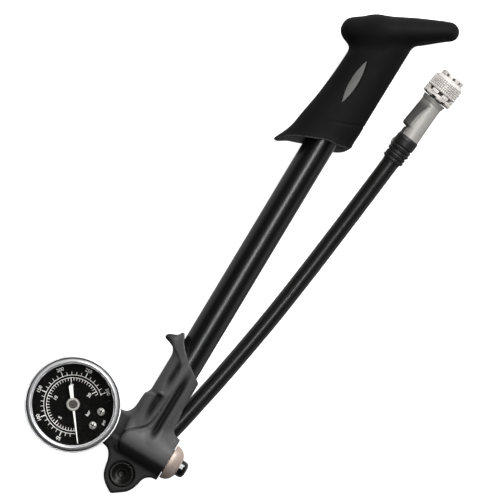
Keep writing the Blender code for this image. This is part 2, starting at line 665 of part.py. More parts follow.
def make_handle(handle_body):
    across, upward = (1.0, 0.0, 0.0), (0.0, 0.0, 1.0)
    rings = []
    for y, left, right, depth in SLEEVE_STATIONS:
        centre = ((left + right) / 2.0, y, BARREL_Z)
        rings.append(superellipse(centre, (right - left) / 2.0, depth, 2.5, 24, across, upward))
    sleeve = loft(rings)
    rings = []
    slope = math.radians(29.5)
    normal = Vector((-math.sin(slope), math.cos(slope), 0.0))
    for (x, y), half_width, depth in PALM_STATIONS:
        rings.append(superellipse((x, y, BARREL_Z), half_width, depth, 2.2, 24, normal, upward))
    solid = join(sleeve, loft(rings))

    cavity_rings = []
    for y, half_width, depth, centre_x in ((150.0, 14.0, 11.4, -2.6), (178.0, 12.4, 11.0, -1.6),
                                           (190.0, 9.6, 9.4, -0.4), (200.0, 8.3, 8.3, 0.0),
                                           (238.2, 8.2, 8.2, 0.0)):
        centre = (centre_x, y, BARREL_Z)
        cavity_rings.append(superellipse(centre, half_width, depth, 2.0, 24, across, upward))
    rod_hole = rod(ROD_R + GAP, (0.0, 237.0, BARREL_Z), (0.0, 242.5, BARREL_Z), 24)
    pocket = prism(inlay_outline(GAP), BARREL_Z + 11.2, BARREL_Z + 20.0)
    solid = cut(solid, rim_cutter(), loft(cavity_rings), rod_hole, pocket)
    make_object("handle_shell", solid, "soft_grip", handle_body, 50.0)
    make_object("handle_inlay", prism(inlay_outline(0.0), BARREL_Z + 11.5, BARREL_Z + 12.9),
                "inlay_grey", handle_body)


def inlay_outline(margin):
    """Return a pointed lens made of two arcs, grown by a margin."""
    half_length = INLAY_LENGTH / 2.0 + 2.0 * margin
    half_width = INLAY_WIDTH / 2.0 + margin
    steps = 8
    right = []
    for k in range(steps + 1):
        t = -1.0 + 2.0 * k / steps
        right.append((half_width * (1.0 - t * t), half_length * t))
    left = [(-x, y) for x, y in reversed(right[1:-1])]
    return [(INLAY_CENTRE[0] + x, INLAY_CENTRE[1] + y) for x, y in right + left]


def make_piston(rod_body):
    frame = barrel_frame()
    make_object("piston_rod", lathe([
        (0.0, 43.0), (2.2, 43.0), (2.2, 50.4), (ROD_R, 50.4), (ROD_R, 241.6), (ROD_R - 0.5, 242.1),
        (0.0, 242.1),
    ], frame, 24), "steel", rod_body)
    make_object("piston", lathe([
        (5.5, 41.5), (5.9, 41.9), (5.9, 44.6), (4.5, 44.6), (4.5, 47.0), (5.9, 47.0), (5.9, 49.7),
        (5.5, 50.1), (2.5, 50.1), (2.5, 42.7), (0.0, 42.7), (0.0, 41.5),
    ], frame, 24), "brass", rod_body)
    make_object("piston_o_ring", torus(5.3, 0.65, 45.8, frame, 28), "seal_rubber", rod_body)
    make_object("rod_bumper", tube(5.2, ROD_R + GAP, 232.6, 234.4, frame, 24), "seal_rubber", rod_body)
    hexagon = [(5.5 * math.cos(math.pi * k / 3), 5.5 * math.sin(math.pi * k / 3)) for k in range(6)]
    nut = cut(prism(hexagon, 234.7, 237.9, frame),
              rod(ROD_R + GAP, (0.0, 230.0, BARREL_Z), (0.0, 240.0, BARREL_Z)))
    make_object("rod_nut", nut, "steel", rod_body)


# ---------------------------------------------------------------- hose and chuck

def make_hose(hose_body):
    """Plain tube on the route, with a point every two diameters."""
    fine = catmull_rom(HOSE_ROUTE, 12)
    lengths = [0.0]
    for a, b in zip(fine, fine[1:]):
        lengths.append(lengths[-1] + (b - a).length)
    count = round(lengths[-1] / (4.0 * HOSE_R)) + 1
    points = []
    for k in range(count):
        wanted = lengths[-1] * k / (count - 1)
        place = next((i for i, length in enumerate(lengths) if length >= wanted - 1e-9), len(fine) - 1)
        if place == 0:
            points.append(fine[0])
            continue
        part = (wanted - lengths[place - 1]) / (lengths[place] - lengths[place - 1])
        points.append(fine[place - 1].lerp(fine[place], part))
    curve = bpy.data.curves.new("hose", "CURVE")
    curve.dimensions = "3D"
    curve.bevel_depth = HOSE_R * MM
    curve.bevel_resolution = 4
    curve.use_fill_caps = True
    spline = curve.splines.new("POLY")
    spline.points.add(len(points) - 1)
    for target, point in zip(spline.points, points):
        target.co = (*(point * MM), 1.0)
    curve.materials.append(material("hose_rubber"))
    hose = bpy.data.objects.new("hose", curve)
    bpy.context.scene.collection.objects.link(hose)
    hose.parent = hose_body
    hose.matrix_parent_inverse = Matrix.Translation(-hose_body.location)


def make_strain_relief(hose_body):
    span = RELIEF_HEAD - RELIEF_FOOT
    length = span.length
    profile = [(0.0, 0.0)]
    for rib in range(3):
        start = 0.2 + 2.6 * rib
        outer = 4.85 + 0.1 * rib
        profile += [(outer - 0.4, start - 0.2), (outer, start + 0.3)]
        profile += [(outer, start + 1.3), (outer - 0.5, start + 1.8)]
    profile += [(5.0, 8.2), (5.25, 9.2), (5.25, length - 1.0), (4.7, length), (0.0, length)]
    frame = axis_frame(RELIEF_FOOT, span)
    make_object("strain_relief", lathe(profile, frame, 16), "boot_rubber", hose_body)


def make_chuck(hose_body):
    frame = chuck_frame()
    barrel = lathe([
        (0.0, -15.8), (4.2, -15.8), (5.2, -14.8), (5.2, 0.2), (5.9, 0.4), (5.9, 1.6), (5.5, 1.8),
        (3.4, 1.8), (3.4, 8.0), (4.4, 8.0), (4.4, 9.3), (0.0, 9.3),
    ], frame, 28)
    span = STEM_HEAD - STEM_FOOT
    stem = lathe([(0.0, 0.0), (4.3, 0.0), (4.6, 0.3), (4.6, span.length), (0.0, span.length)],
                 axis_frame(STEM_FOOT, span), 28)
    solid = join(barrel, stem)
    corners = [chuck_point(-18.0, -2.4), chuck_point(-18.0, 2.4),
               chuck_point(-6.6, 2.4), chuck_point(-6.6, -2.4)]
    slot = prism([(corner.x, corner.y) for corner in corners], -2.0, LEVER_PIN_Z + 2.95)
    pin_hole = rod(1.25, chuck_point(LEVER_PIN_S, -9.0, LEVER_PIN_Z),
                   chuck_point(LEVER_PIN_S, 9.0, LEVER_PIN_Z), 16)
    pin_way = rod(1.1, chuck_point(7.0), chuck_point(12.0), 12)
    make_object("chuck_body", cut(solid, slot, pin_hole, pin_way), "satin_metal", hose_body)
    make_object("lever_pin", rod(0.95, chuck_point(LEVER_PIN_S, -4.6, LEVER_PIN_Z),
                                 chuck_point(LEVER_PIN_S, 4.6, LEVER_PIN_Z), 16), "black_steel", hose_body)
    make_object("chuck_seal", tube(3.5, 1.3, 9.9, 10.6, frame, 24), "seal_rubber", hose_body)
    make_object("depressor_pin", lathe([(0.0, 7.4), (0.75, 7.4), (0.75, 10.7), (0.0, 10.9)], frame, 12),
                "brass", hose_body)


def make_chuck_rings(lock_body, thread_body):
    frame = chuck_frame()
    make_object("lock_ring", lathe([
        (6.7, 2.2), (7.4, 2.8), (7.4, 5.4), (7.0, 5.9), (3.75, 5.9), (3.75, 2.2),
    ], frame, 28), "nickel", lock_body)
    make_object("thread_ring", lathe([
        (7.0, 6.2), (7.5, 6.6), (7.5, 11.6), (6.2, 13.2), (5.8, 13.3), (5.8, 15.1), (5.5, 15.4),
        (3.9, 15.4), (3.9, 9.65), (4.75, 9.65), (4.75, 7.7), (3.75, 7.7), (3.75, 6.2),
    ], frame, 28), "nickel", thread_body)


def make_lever(lever_body):
    """Thumb lever: a forked root on the pin, a flat arm under the stem and a round tip."""
    forward = chuck_direction()
    sideways = Vector((forward.y, -forward.x, 0.0))
    side_frame = Matrix((forward, Vector((0.0, 0.0, 1.0)), -sideways)).transposed().to_4x4()
    side_frame.translation = Vector((CHUCK_ORIGIN.x, CHUCK_ORIGIN.y, 0.0))
    root_r = 2.5
    root = []
    for k in range(9):
        angle = math.radians(-40.0 + 30.0 * k)
        root.append((LEVER_PIN_S + root_r * math.cos(angle), LEVER_PIN_Z + root_r * math.sin(angle)))
    root += [(LEVER_PIN_S - 3.4, 2.2), (-18.0, 2.2), (-18.0, 0.4), (LEVER_PIN_S - 0.6, 0.4)]
    solid = prism(root, -1.95, 1.95, side_frame)
    tip_r = 3.7
    outline = [(-16.7, -3.0), (-22.0, -3.0)]
    for k in range(9):
        angle = math.radians(-50.0 - 32.5 * k)
        outline.append((-24.4 + tip_r * math.cos(angle), tip_r * math.sin(angle)))
    outline += [(-22.0, 3.0), (-16.7, 3.0)]
    corners = [chuck_point(along, across) for along, across in outline]
    solid = join(solid, prism([(corner.x, corner.y) for corner in corners], 0.4, 2.2))
    hole = rod(1.25, chuck_point(LEVER_PIN_S, -6.0, LEVER_PIN_Z),
               chuck_point(LEVER_PIN_S, 6.0, LEVER_PIN_Z), 16)
    make_object("chuck_lever", cut(solid, hole), "satin_metal", lever_body)


def build():
    clear_scene()
    make_base_body()
    make_barrel()
    make_check_valve()
    make_swivel()

    needle_body = body_origin("needle_origin", (GAUGE_X, GAUGE_Y, DIAL_Z))
    sector_body = body_origin("sector_origin", (GAUGE_X - GEAR_CENTRES, GAUGE_Y, DIAL_Z))
    make_gauge_case()
    make_gauge_dial()
    make_gauge_socket()
    make_movement(needle_body, sector_body)
    make_needle(needle_body)

    make_bleeder(body_origin("bleeder_origin", (FOOT_FACE_X, CROSS_Y, CROSS_Z)))

    rod_body = body_origin("rod_origin", (0.0, BARREL_FOOT_Y, BARREL_Z))
    handle_body = body_origin("handle_origin", (0.0, 240.0, BARREL_Z))
    make_piston(rod_body)
    make_handle(handle_body)

    hose_body = body_origin("hose_origin", (0.0, 0.0, 0.0))
    make_swivel_eye(hose_body)
    make_hose(hose_body)
    make_strain_relief(hose_body)
    make_chuck(hose_body)
    make_chuck_rings(body_origin("lock_ring_origin", CHUCK_ORIGIN),
                     body_origin("thread_ring_origin", CHUCK_ORIGIN))
    make_lever(body_origin("lever_origin", chuck_point(LEVER_PIN_S, 0.0, LEVER_PIN_Z)))
    bpy.context.view_layer.update()


build()
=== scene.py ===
"""Looks of the suspension pump: mouldings, turned metal, cast chuck, printed dial, hose, lights and camera.

Shapes are worked out in millimetres in the frame's axes and scaled to metres when their meshes are made.
"""

import json
import math

import bmesh
import bpy
import numpy as np
from mathutils import Matrix, Vector


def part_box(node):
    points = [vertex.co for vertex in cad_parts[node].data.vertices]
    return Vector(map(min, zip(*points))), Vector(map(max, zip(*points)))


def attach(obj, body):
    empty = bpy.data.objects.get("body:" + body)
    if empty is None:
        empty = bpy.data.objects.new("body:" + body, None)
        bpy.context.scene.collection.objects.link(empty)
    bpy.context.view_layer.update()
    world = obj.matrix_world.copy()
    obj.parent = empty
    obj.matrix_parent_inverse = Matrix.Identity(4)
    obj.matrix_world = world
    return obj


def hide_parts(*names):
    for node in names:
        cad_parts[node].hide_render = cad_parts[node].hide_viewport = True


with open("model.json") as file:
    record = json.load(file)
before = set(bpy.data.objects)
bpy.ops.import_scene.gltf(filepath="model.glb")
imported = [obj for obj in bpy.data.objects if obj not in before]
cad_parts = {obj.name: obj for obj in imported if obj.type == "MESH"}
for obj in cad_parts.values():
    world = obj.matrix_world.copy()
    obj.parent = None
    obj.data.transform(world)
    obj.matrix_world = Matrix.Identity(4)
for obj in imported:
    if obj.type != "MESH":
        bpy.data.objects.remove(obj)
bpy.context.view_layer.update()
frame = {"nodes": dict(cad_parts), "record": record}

MM = 0.001


def middle(node):
    """Return a CAD node's centre in millimetres."""
    low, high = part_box(node)
    return (low + high) / 2.0 / MM


def corners(node):
    """Return a CAD node's lowest and highest corner in millimetres."""
    low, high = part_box(node)
    return low / MM, high / MM


def half_width(node):
    """Return half of a CAD node's width along X, in millimetres."""
    low, high = corners(node)
    return (high.x - low.x) / 2.0


# Places read from the frame
BARREL_LOW, BARREL_HIGH = corners("barrel_tube")
BARREL_Z = (BARREL_LOW.z + BARREL_HIGH.z) / 2.0
BARREL_R = half_width("barrel_tube")
GAUGE_CENTRE = middle("gauge_case")
GAUGE_R = half_width("gauge_bezel")
CASE_R = half_width("gauge_case")
CASE_TOP = corners("gauge_case")[1].z
DIAL_TOP = corners("gauge_dial")[1].z
DOME_LOW, DOME_HIGH = corners("bleeder_housing")
CROSS_Y = (DOME_LOW.y + DOME_HIGH.y) / 2.0
CROSS_Z = (DOME_LOW.z + DOME_HIGH.z) / 2.0
FOOT_FACE = corners("base_body")[1].x
INLAY_LOW, INLAY_HIGH = corners("handle_inlay")

# Sizes and places that the looks add
BARREL_WALL = 0.95
DIAL_R = 19.0
CROSS_R = 9.7
FOOT_BACK = 9.0
CHUCK_ORIGIN = Vector((35.0, 222.0, 7.7))
CHUCK_HEADING = math.radians(8.9)
CHUCK_FORWARD = Vector((math.sin(CHUCK_HEADING), math.cos(CHUCK_HEADING), 0.0))
CHUCK_SIDE = Vector((CHUCK_FORWARD.y, -CHUCK_FORWARD.x, 0.0))
HOSE_HEADING = math.radians(19.0)
HOSE_RADIUS = 4.1
HOSE_Z = 4.25

# Route of the hose's centre line, from the ferrule to the strain relief
HOSE_ROUTE = [
    (6.61, 19.20, 4.25), (9.05, 26.50, 4.25), (10.35, 32.00, 4.25), (11.75, 38.50, 4.25),
    (13.30, 46.50, 4.25), (15.20, 56.00, 4.25), (17.05, 66.00, 4.25), (18.95, 77.00, 4.25),
    (20.90, 89.00, 4.30), (22.70, 101.00, 4.35), (24.40, 114.00, 4.45), (26.00, 127.00, 4.70),
    (27.60, 141.00, 5.20), (29.20, 155.50, 5.95), (30.90, 171.50, 7.00), (31.90, 181.00, 7.70),
    (32.67, 188.98, 8.18),
]


def show(name, data):
    """Add an object with this data to the scene."""
    obj = bpy.data.objects.new(name, data)
    bpy.context.scene.collection.objects.link(obj)
    return obj


# ---------------- camera

def make_camera():
    """Look straight down with the barrel leaning to the right, from far away."""
    distance, width_seen, height = 4000.0, 232.0, 17.0
    centre_x, centre_y, lean = -2.45, 119.7, math.radians(31.0)
    data = bpy.data.cameras.new("camera")
    data.sensor_width = 36.0
    data.lens = data.sensor_width * distance / width_seen
    data.clip_end = 20.0
    camera = show("camera", data)
    camera.location = Vector((centre_x, centre_y, distance + height)) * MM
    camera.rotation_euler = (0.0, 0.0, lean)
    bpy.context.scene.camera = camera


# ---------------- materials

# Sockets of a Mix node that blends colours
MIX_FACTOR, MIX_FIRST, MIX_SECOND, MIX_RESULT = 0, 6, 7, 2
RANGE_SOCKETS = ("From Min", "From Max", "To Min", "To Max")
COAT_ROUGHNESS = 0.08
RECESS_DULLS = 0.32
FINER = 3.1


class Nodes:
    """A short way to add and link nodes in one material."""

    def __init__(self, name):
        self.material = bpy.data.materials.new(name)
        self.material.use_nodes = True
        self.tree = self.material.node_tree
        self.shader = self.tree.nodes["Principled BSDF"]
        self.coordinates = self.tree.nodes.new("ShaderNodeTexCoord").outputs["Object"]

    def add(self, kind, **settings):
        """Add a node and set its properties."""
        node = self.tree.nodes.new(kind)
        for key, value in settings.items():
            setattr(node, key, value)
        return node

    def link(self, source, target):
        """Join an output to an input."""
        self.tree.links.new(source, target)

    def noise(self, scale, detail=3.0, stretch=(1.0, 1.0, 1.0)):
        """Return noise whose grains are 1 / scale metres across, stretched along the axes."""
        mapping = self.add("ShaderNodeMapping")
        mapping.inputs["Scale"].default_value = stretch
        self.link(self.coordinates, mapping.inputs["Vector"])
        noise = self.add("ShaderNodeTexNoise")
        noise.inputs["Scale"].default_value = scale
        noise.inputs["Detail"].default_value = detail
        noise.inputs["Roughness"].default_value = 0.55
        self.link(mapping.outputs["Vector"], noise.inputs["Vector"])
        return noise.outputs["Fac"]

    def spread(self, value, low, high, source_low=0.3, source_high=0.7):
        """Map a value from one range to another. The usual source range is that of noise."""
        node = self.add("ShaderNodeMapRange")
        for socket, level in zip(RANGE_SOCKETS, (source_low, source_high, low, high)):
            node.inputs[socket].default_value = level
        self.link(value, node.inputs["Value"])
        return node.outputs["Result"]

    def blend(self, factor, first, second):
        """Mix two colours, each a tuple or another node's output."""
        node = self.add("ShaderNodeMix", data_type="RGBA")
        self.link(factor, node.inputs[MIX_FACTOR])
        for socket, colour in ((node.inputs[MIX_FIRST], first), (node.inputs[MIX_SECOND], second)):
            if isinstance(colour, tuple):
                socket.default_value = (*colour, 1.0)
            else:
                self.link(colour, socket)
        return node.outputs[MIX_RESULT]

    def bump(self, height, strength, distance):
        """Return a normal that shows a height as relief, distance metres deep."""
        node = self.add("ShaderNodeBump")
        node.inputs["Strength"].default_value = strength
        node.inputs["Distance"].default_value = distance
        self.link(height, node.inputs["Height"])
        return node.outputs["Normal"]

    def edges(self, start, end):
        """Return the pointiness mapped from start..end onto 0..1, low in tight corners and high on worn
        outer edges.
        """
        geometry = self.add("ShaderNodeNewGeometry")
        return self.spread(geometry.outputs["Pointiness"], 0.0, 1.0, start, end)


def tone(colour, factor):
    """Make a colour darker or lighter."""
    return tuple(min(1.0, c * factor) for c in colour)


def surface(name, colour, roughness, metallic=0.0, vary=0.12, patches=60.0, rough_vary=0.06,
            grain=None, wear=None, coat=0.0, specular=0.5, stretch=(1.0, 1.0, 1.0), corner_shade=None,
            painted_light_shade=None):
    """Build a material with patchy colour, uneven roughness, grain in relief and brighter worn edges.

    grain is (grains per metre, strength, relief in metres). The settings for the convex edges and for the
    tight corners are (start, end, brightness): brighter worn edges, and painted shade in the corners. The
    setting for the mesh's own attribute is the brightness where that attribute is 1, which is also duller:
    painted shade on the floor of a groove, and painted light on an inner wall.
    """
    nodes = Nodes(name)
    shader = nodes.shader
    shader.inputs["Metallic"].default_value = metallic
    shader.inputs["Coat Weight"].default_value = coat
    shader.inputs["Coat Roughness"].default_value = COAT_ROUGHNESS
    shader.inputs["Specular IOR Level"].default_value = specular
    patchy = nodes.spread(nodes.noise(patches, 4.0, stretch), 0.0, 1.0)
    shade = nodes.blend(patchy, tone(colour, 1.0 - vary), tone(colour, 1.0 + vary))
    if wear:
        shade = nodes.blend(nodes.edges(wear[0], wear[1]), shade, tone(colour, wear[2]))
    marked = None
    # Painted light and shade: the colour is scaled where the mesh's own attribute is 1
    if painted_light_shade:
        marked = nodes.add("ShaderNodeAttribute", attribute_name="painted_light_shade").outputs["Fac"]
        shade = nodes.blend(marked, shade, tone(colour, painted_light_shade))
    # Painted shade: darker in tight corners, found by pointiness
    if corner_shade:
        shade = nodes.blend(nodes.edges(corner_shade[0], corner_shade[1]), tone(colour, corner_shade[2]), shade)
    nodes.link(shade, shader.inputs["Base Color"])
    uneven = nodes.noise(patches * FINER, 5.0, stretch)
    rough = nodes.spread(uneven, roughness - rough_vary, roughness + rough_vary)
    if marked:
        duller = nodes.add("ShaderNodeMath", operation="MULTIPLY_ADD")
        duller.inputs[1].default_value = RECESS_DULLS
        nodes.link(marked, duller.inputs[0])
        nodes.link(rough, duller.inputs[2])
        rough = duller.outputs[0]
    nodes.link(rough, shader.inputs["Roughness"])
    if grain:
        scale, strength, relief = grain
        fine = nodes.noise(scale, 2.0, stretch)
        nodes.link(nodes.bump(fine, strength, relief), shader.inputs["Normal"])
    return nodes.material


def make_materials():
    made = {
        # The nylon is darkened in tight corners and where the mesh marks flutes, neck, horn tip, lug and
        # the cross tube's under side: painted shade
        "nylon": surface(
            "moulded_nylon", (0.080, 0.080, 0.081), 0.46, vary=0.08, patches=90.0, specular=0.25,
            grain=(2600.0, 0.35, 0.00008), wear=(0.52, 0.60, 1.3), corner_shade=(0.40, 0.49, 0.25),
            painted_light_shade=0.06),
        "anodised": surface(
            "anodised_black", (0.002, 0.002, 0.0024), 0.31, vary=0.15, patches=160.0, rough_vary=0.03,
            grain=(3000.0, 0.10, 0.00003), specular=0.75, stretch=(1.0, 0.03, 1.0)),
        # The grip is many times lighter where the mesh marks the hollow's wall and rim: painted light,
        # standing in for light bounced off the floor
        "grip": surface(
            "soft_touch", (0.0065, 0.0065, 0.0067), 0.66, vary=0.10, patches=70.0,
            grain=(3800.0, 0.25, 0.00005), wear=(0.53, 0.62, 1.6), specular=0.1, painted_light_shade=28.0),
        "inlay": surface(
            "inlay_grey", (0.115, 0.115, 0.110), 0.50, vary=0.06, patches=300.0,
            grain=(5000.0, 0.30, 0.00004)),
        "hose": surface(
            "hose_rubber", (0.0070, 0.0070, 0.0066), 0.36, vary=0.15, patches=120.0, coat=0.10,
            rough_vary=0.05, grain=(2400.0, 0.12, 0.00005), stretch=(1.0, 0.15, 1.0)),
        "boot": surface(
            "boot_rubber", (0.010, 0.010, 0.010), 0.50, vary=0.18, patches=400.0,
            grain=(3200.0, 0.5, 0.00007), wear=(0.53, 0.62, 1.8)),
        "seal": surface(
            "seal_rubber", (0.012, 0.012, 0.012), 0.60, grain=(3000.0, 0.3, 0.00005)),
        # The nickel is darkened in tight corners and where the mesh marks notches, flutes, windows and
        # knurl grooves: painted shade
        "nickel": surface(
            "nickel_plate", (0.74, 0.705, 0.67), 0.40, 0.12, vary=0.05, patches=500.0, rough_vary=0.05,
            grain=(2200.0, 0.06, 0.00004), wear=(0.54, 0.62, 1.1), corner_shade=(0.40, 0.485, 0.16),
            painted_light_shade=0.06),
        "dome": surface(
            "dome_nickel", (0.50, 0.405, 0.35), 0.48, 0.35, vary=0.07, patches=300.0, rough_vary=0.04,
            grain=(1500.0, 0.05, 0.00004)),
        # The casting is darkened where the mesh marks the side left of the seam: painted shade
        "casting": surface(
            "satin_casting", (0.45, 0.435, 0.41), 0.50, 0.25, vary=0.06, patches=250.0, rough_vary=0.06,
            grain=(4200.0, 0.25, 0.00004), wear=(0.53, 0.60, 1.2), painted_light_shade=0.19),
        "steel": surface(
            "ground_steel", (0.60, 0.60, 0.61), 0.22, 1.0, vary=0.06, patches=200.0,
            grain=(3000.0, 0.12, 0.00003), stretch=(1.0, 0.05, 1.0)),
        "black_steel": surface(
            "black_steel", (0.014, 0.014, 0.014), 0.28, vary=0.2, patches=150.0,
            grain=(1800.0, 0.12, 0.00004), wear=(0.54, 0.62, 2.2), coat=0.3),
        "screw": surface(
            "blackened_screw", (0.0065, 0.0065, 0.0055), 0.25, vary=0.2, patches=400.0,
            grain=(1500.0, 0.08, 0.00004), specular=0.15),
        # The chrome is darkened where the mesh marks the bezel's groove floor: painted shade
        "chrome": surface(
            "chrome_plate", (0.86, 0.86, 0.87), 0.24, 0.65, vary=0.03, patches=200.0, rough_vary=0.03,
            grain=(900.0, 0.015, 0.00003), painted_light_shade=0.08),
        "brass": surface(
            "machined_brass", (0.72, 0.52, 0.24), 0.28, 1.0, vary=0.1, patches=400.0,
            grain=(2500.0, 0.2, 0.00003)),
        "dial": surface(
            "dial_black", (0.0016, 0.0015, 0.0014), 0.60, vary=0.15, patches=120.0,
            grain=(5000.0, 0.05, 0.00002), specular=0.03),
        "hub": surface(
            "hub_grey", (0.25, 0.24, 0.22), 0.40, vary=0.2, patches=900.0, grain=(3000.0, 0.3, 0.00004)),
        "print": surface(
            "dial_print", (0.72, 0.72, 0.70), 0.5, vary=0.08, patches=900.0,
            grain=(6000.0, 0.1, 0.00001)),
        "needle": surface(
            "needle_white", (0.68, 0.68, 0.65), 0.42, vary=0.05, patches=400.0,
            grain=(3500.0, 0.15, 0.00002)),
        "button": surface(
            "gloss_black", (0.006, 0.006, 0.006), 0.07, vary=0.2, patches=300.0, rough_vary=0.02,
            grain=(900.0, 0.02, 0.00003), coat=0.6),
        # The plated heads are darkened where the mesh marks the floor of the cross: painted shade
        "plated": surface(
            "plated_head", (0.70, 0.68, 0.65), 0.34, 0.8, vary=0.06, patches=900.0,
            grain=(2600.0, 0.10, 0.00004), painted_light_shade=0.04),
        "brass_dark": surface(
            "tarnished_brass", (0.030, 0.025, 0.019), 0.45, 0.3, vary=0.3, patches=900.0,
            grain=(3000.0, 0.4, 0.00005)),
    }
    glass = Nodes("clear_lens")
    glass.shader.inputs["Transmission Weight"].default_value = 1.0
    glass.shader.inputs["IOR"].default_value = 1.45
    haze = glass.spread(glass.noise(150.0, 4.0), 0.0, 0.02)
    glass.link(haze, glass.shader.inputs["Roughness"])
    glass.link(glass.blend(glass.noise(60.0), (1.0, 1.0, 1.0), (0.97, 0.98, 0.98)),
               glass.shader.inputs["Base Color"])
    made["glass"] = glass.material
    return made


# ---------------- mesh helpers

WELD = 1e-5
SHARP = 35.0


def piece(name, solid, material, body, sharp=SHARP):
    """Turn a bmesh in millimetres into a piece that rides on a CAD body.

    sharp is the angle in degrees above which an edge stays crisp.
    """
    bmesh.ops.remove_doubles(solid, verts=solid.verts, dist=WELD)
    bmesh.ops.scale(solid, vec=(MM, MM, MM), verts=solid.verts)
    mesh = bpy.data.meshes.new(name)
    solid.to_mesh(mesh)
    solid.free()
    mesh.materials.append(material)
    mesh.shade_smooth()
    mesh.set_sharp_from_angle(angle=math.radians(sharp))
    obj = show(name, mesh)
    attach(obj, body)
    return obj


def axis_frame(origin, direction):
    """Return a frame whose Z runs along a direction other than upright, with its Y nearest to up."""
    z_axis = Vector(direction).normalized()
    x_axis = Vector((0.0, 0.0, 1.0)).cross(z_axis)
    x_axis.normalize()
    y_axis = z_axis.cross(x_axis)
    made = Matrix((x_axis, y_axis, z_axis)).transposed().to_4x4()
    made.translation = Vector(origin)
    return made


ARC_STEPS = 3
ARC_SHARE = 0.45
LONG_SIDE, GUARD = 3.0, 0.3


def soften(profile, radius):
    """Round the corners of a closed (radius, height) profile with short arcs.

    An arc takes up at most ARC_SHARE of a side. On a long side a guard point is kept close to the
    arc, so that long faces shade flat right up to it.
    """
    rounded = []
    count = len(profile)
    for k in range(count):
        here = Vector(profile[k])
        before = Vector(profile[k - 1]) - here
        after = Vector(profile[(k + 1) % count]) - here
        if here.x < 1e-6 or before.length < 1e-6 or after.length < 1e-6:
            rounded.append(tuple(here))
            continue
        reach = min(radius, ARC_SHARE * before.length, ARC_SHARE * after.length)
        start = here + before.normalized() * reach
        end = here + after.normalized() * reach
        if before.length > LONG_SIDE * reach:
            rounded.append(tuple(start + before.normalized() * reach * GUARD))
        for step in range(ARC_STEPS + 1):
            t = step / ARC_STEPS
            rounded.append(tuple(start * (1 - t) ** 2 + here * (2 * t * (1 - t)) + end * t ** 2))
        if after.length > LONG_SIDE * reach:
            rounded.append(tuple(end + after.normalized() * reach * GUARD))
    return rounded


def lathe(profile, place, segments=96, change=None):
    """Turn a closed profile about the place's Z axis.

    change(angle, radius, height) may move a point of the profile at one angle, for knurls and slots.
    """
    solid = bmesh.new()
    rings = []
    for radius, height in profile:
        if radius < 1e-6:
            rings.append([solid.verts.new(place @ Vector((0.0, 0.0, height)))])
            continue
        ring = []
        for k in range(segments):
            angle = 2.0 * math.pi * k / segments
            r, h = change(angle, radius, height) if change else (radius, height)
            ring.append(solid.verts.new(place @ Vector((r * math.cos(angle), r * math.sin(angle), h))))
        rings.append(ring)
    for lower, upper in zip(rings, rings[1:] + rings[:1]):
        if len(lower) == 1 and len(upper) == 1:
            continue
        for k in range(segments):
            following = (k + 1) % segments
            made = []
            for vertex in (lower[k % len(lower)], lower[following % len(lower)],
                           upper[following % len(upper)], upper[k % len(upper)]):
                if vertex not in made:
                    made.append(vertex)
            solid.faces.new(made)
    return solid


def turned(name, profile, rounding, place, segments, material, body, sharp=SHARP, change=None):
    """Turn a profile with rounded corners into a piece."""
    solid = lathe(soften(profile, rounding), place, segments, change)
    return piece(name, solid, material, body, sharp)


def add_walls(solid, first, second):
    """Join two rings of equally many points with faces."""
    for k in range(len(first)):
        following = (k + 1) % len(first)
        solid.faces.new((first[k], first[following], second[following], second[k]))


def within(angle, count, share, phase=0.0):
    """True on the stated share of each of count equal arcs round a circle."""
    turn = ((angle - phase) / (2.0 * math.pi) * count + 0.5) % 1.0
    return abs(turn - 0.5) < share / 2.0


def catmull_rom(points, steps):
    """Return points on a smooth curve through the given ones."""
    points = [Vector(point) for point in points]
    curve = []
    for k in range(len(points) - 1):
        b, c = points[k], points[k + 1]
        a = points[k - 1] if k else 2.0 * b - c
        d = points[k + 2] if k + 2 < len(points) else 2.0 * c - b
        for step in range(steps):
            t = step / steps
            curve.append(0.5 * (2.0 * b + (c - a) * t + (2.0 * a - 5.0 * b + 4.0 * c - d) * t ** 2
                                + (3.0 * b - a - 3.0 * c + d) * t ** 3))
    curve.append(points[-1])
    return curve


def rounded_outline(points):
    """Cut the corners of a closed outline, a quarter of the way along each edge."""
    cut = []
    for (x, y), (next_x, next_y) in zip(points, points[1:] + points[:1]):
        cut.append((0.75 * x + 0.25 * next_x, 0.75 * y + 0.25 * next_y))
        cut.append((0.25 * x + 0.75 * next_x, 0.25 * y + 0.75 * next_y))
    return cut


# ---------------- sculpting with distance fields

def merge(first, second, blend):
    """Join two distance fields with a fillet."""
    share = np.clip(0.5 + 0.5 * (second - first) / blend, 0.0, 1.0)
    return second * (1.0 - share) + first * share - blend * share * (1.0 - share)


def carve(solid, cutter, blend):
    """Cut one distance field from another, rounding the new edge."""
    return -merge(-solid, cutter, blend)


def overlap(first, second, blend):
    """Keep what two distance fields share, rounding the new edge."""
    return -merge(-first, -second, blend)


def path_distance(x, y, path):
    """Return the distance to an open path in the plane."""
    best = np.full(np.broadcast(x, y).shape, 1e9)
    for (x0, y0), (x1, y1) in zip(path, path[1:]):
        along_x, along_y = x1 - x0, y1 - y0
        share = np.clip(((x - x0) * along_x + (y - y0) * along_y) / (along_x ** 2 + along_y ** 2), 0, 1)
        best = np.minimum(best, np.hypot(x - x0 - along_x * share, y - y0 - along_y * share))
    return best


def outline_distance(x, y, outline):
    """Return the signed distance to a closed outline in the plane."""
    closed = outline + outline[:1]
    away = path_distance(x, y, closed)
    inside = np.zeros(away.shape, bool)
    for (x0, y0), (x1, y1) in zip(closed, closed[1:]):
        if abs(y1 - y0) > 1e-9:
            crossing = x0 + (y - y0) * (x1 - x0) / (y1 - y0)
            inside ^= ((y0 > y) != (y1 > y)) & (x < crossing)
    return np.where(inside, -away, away)


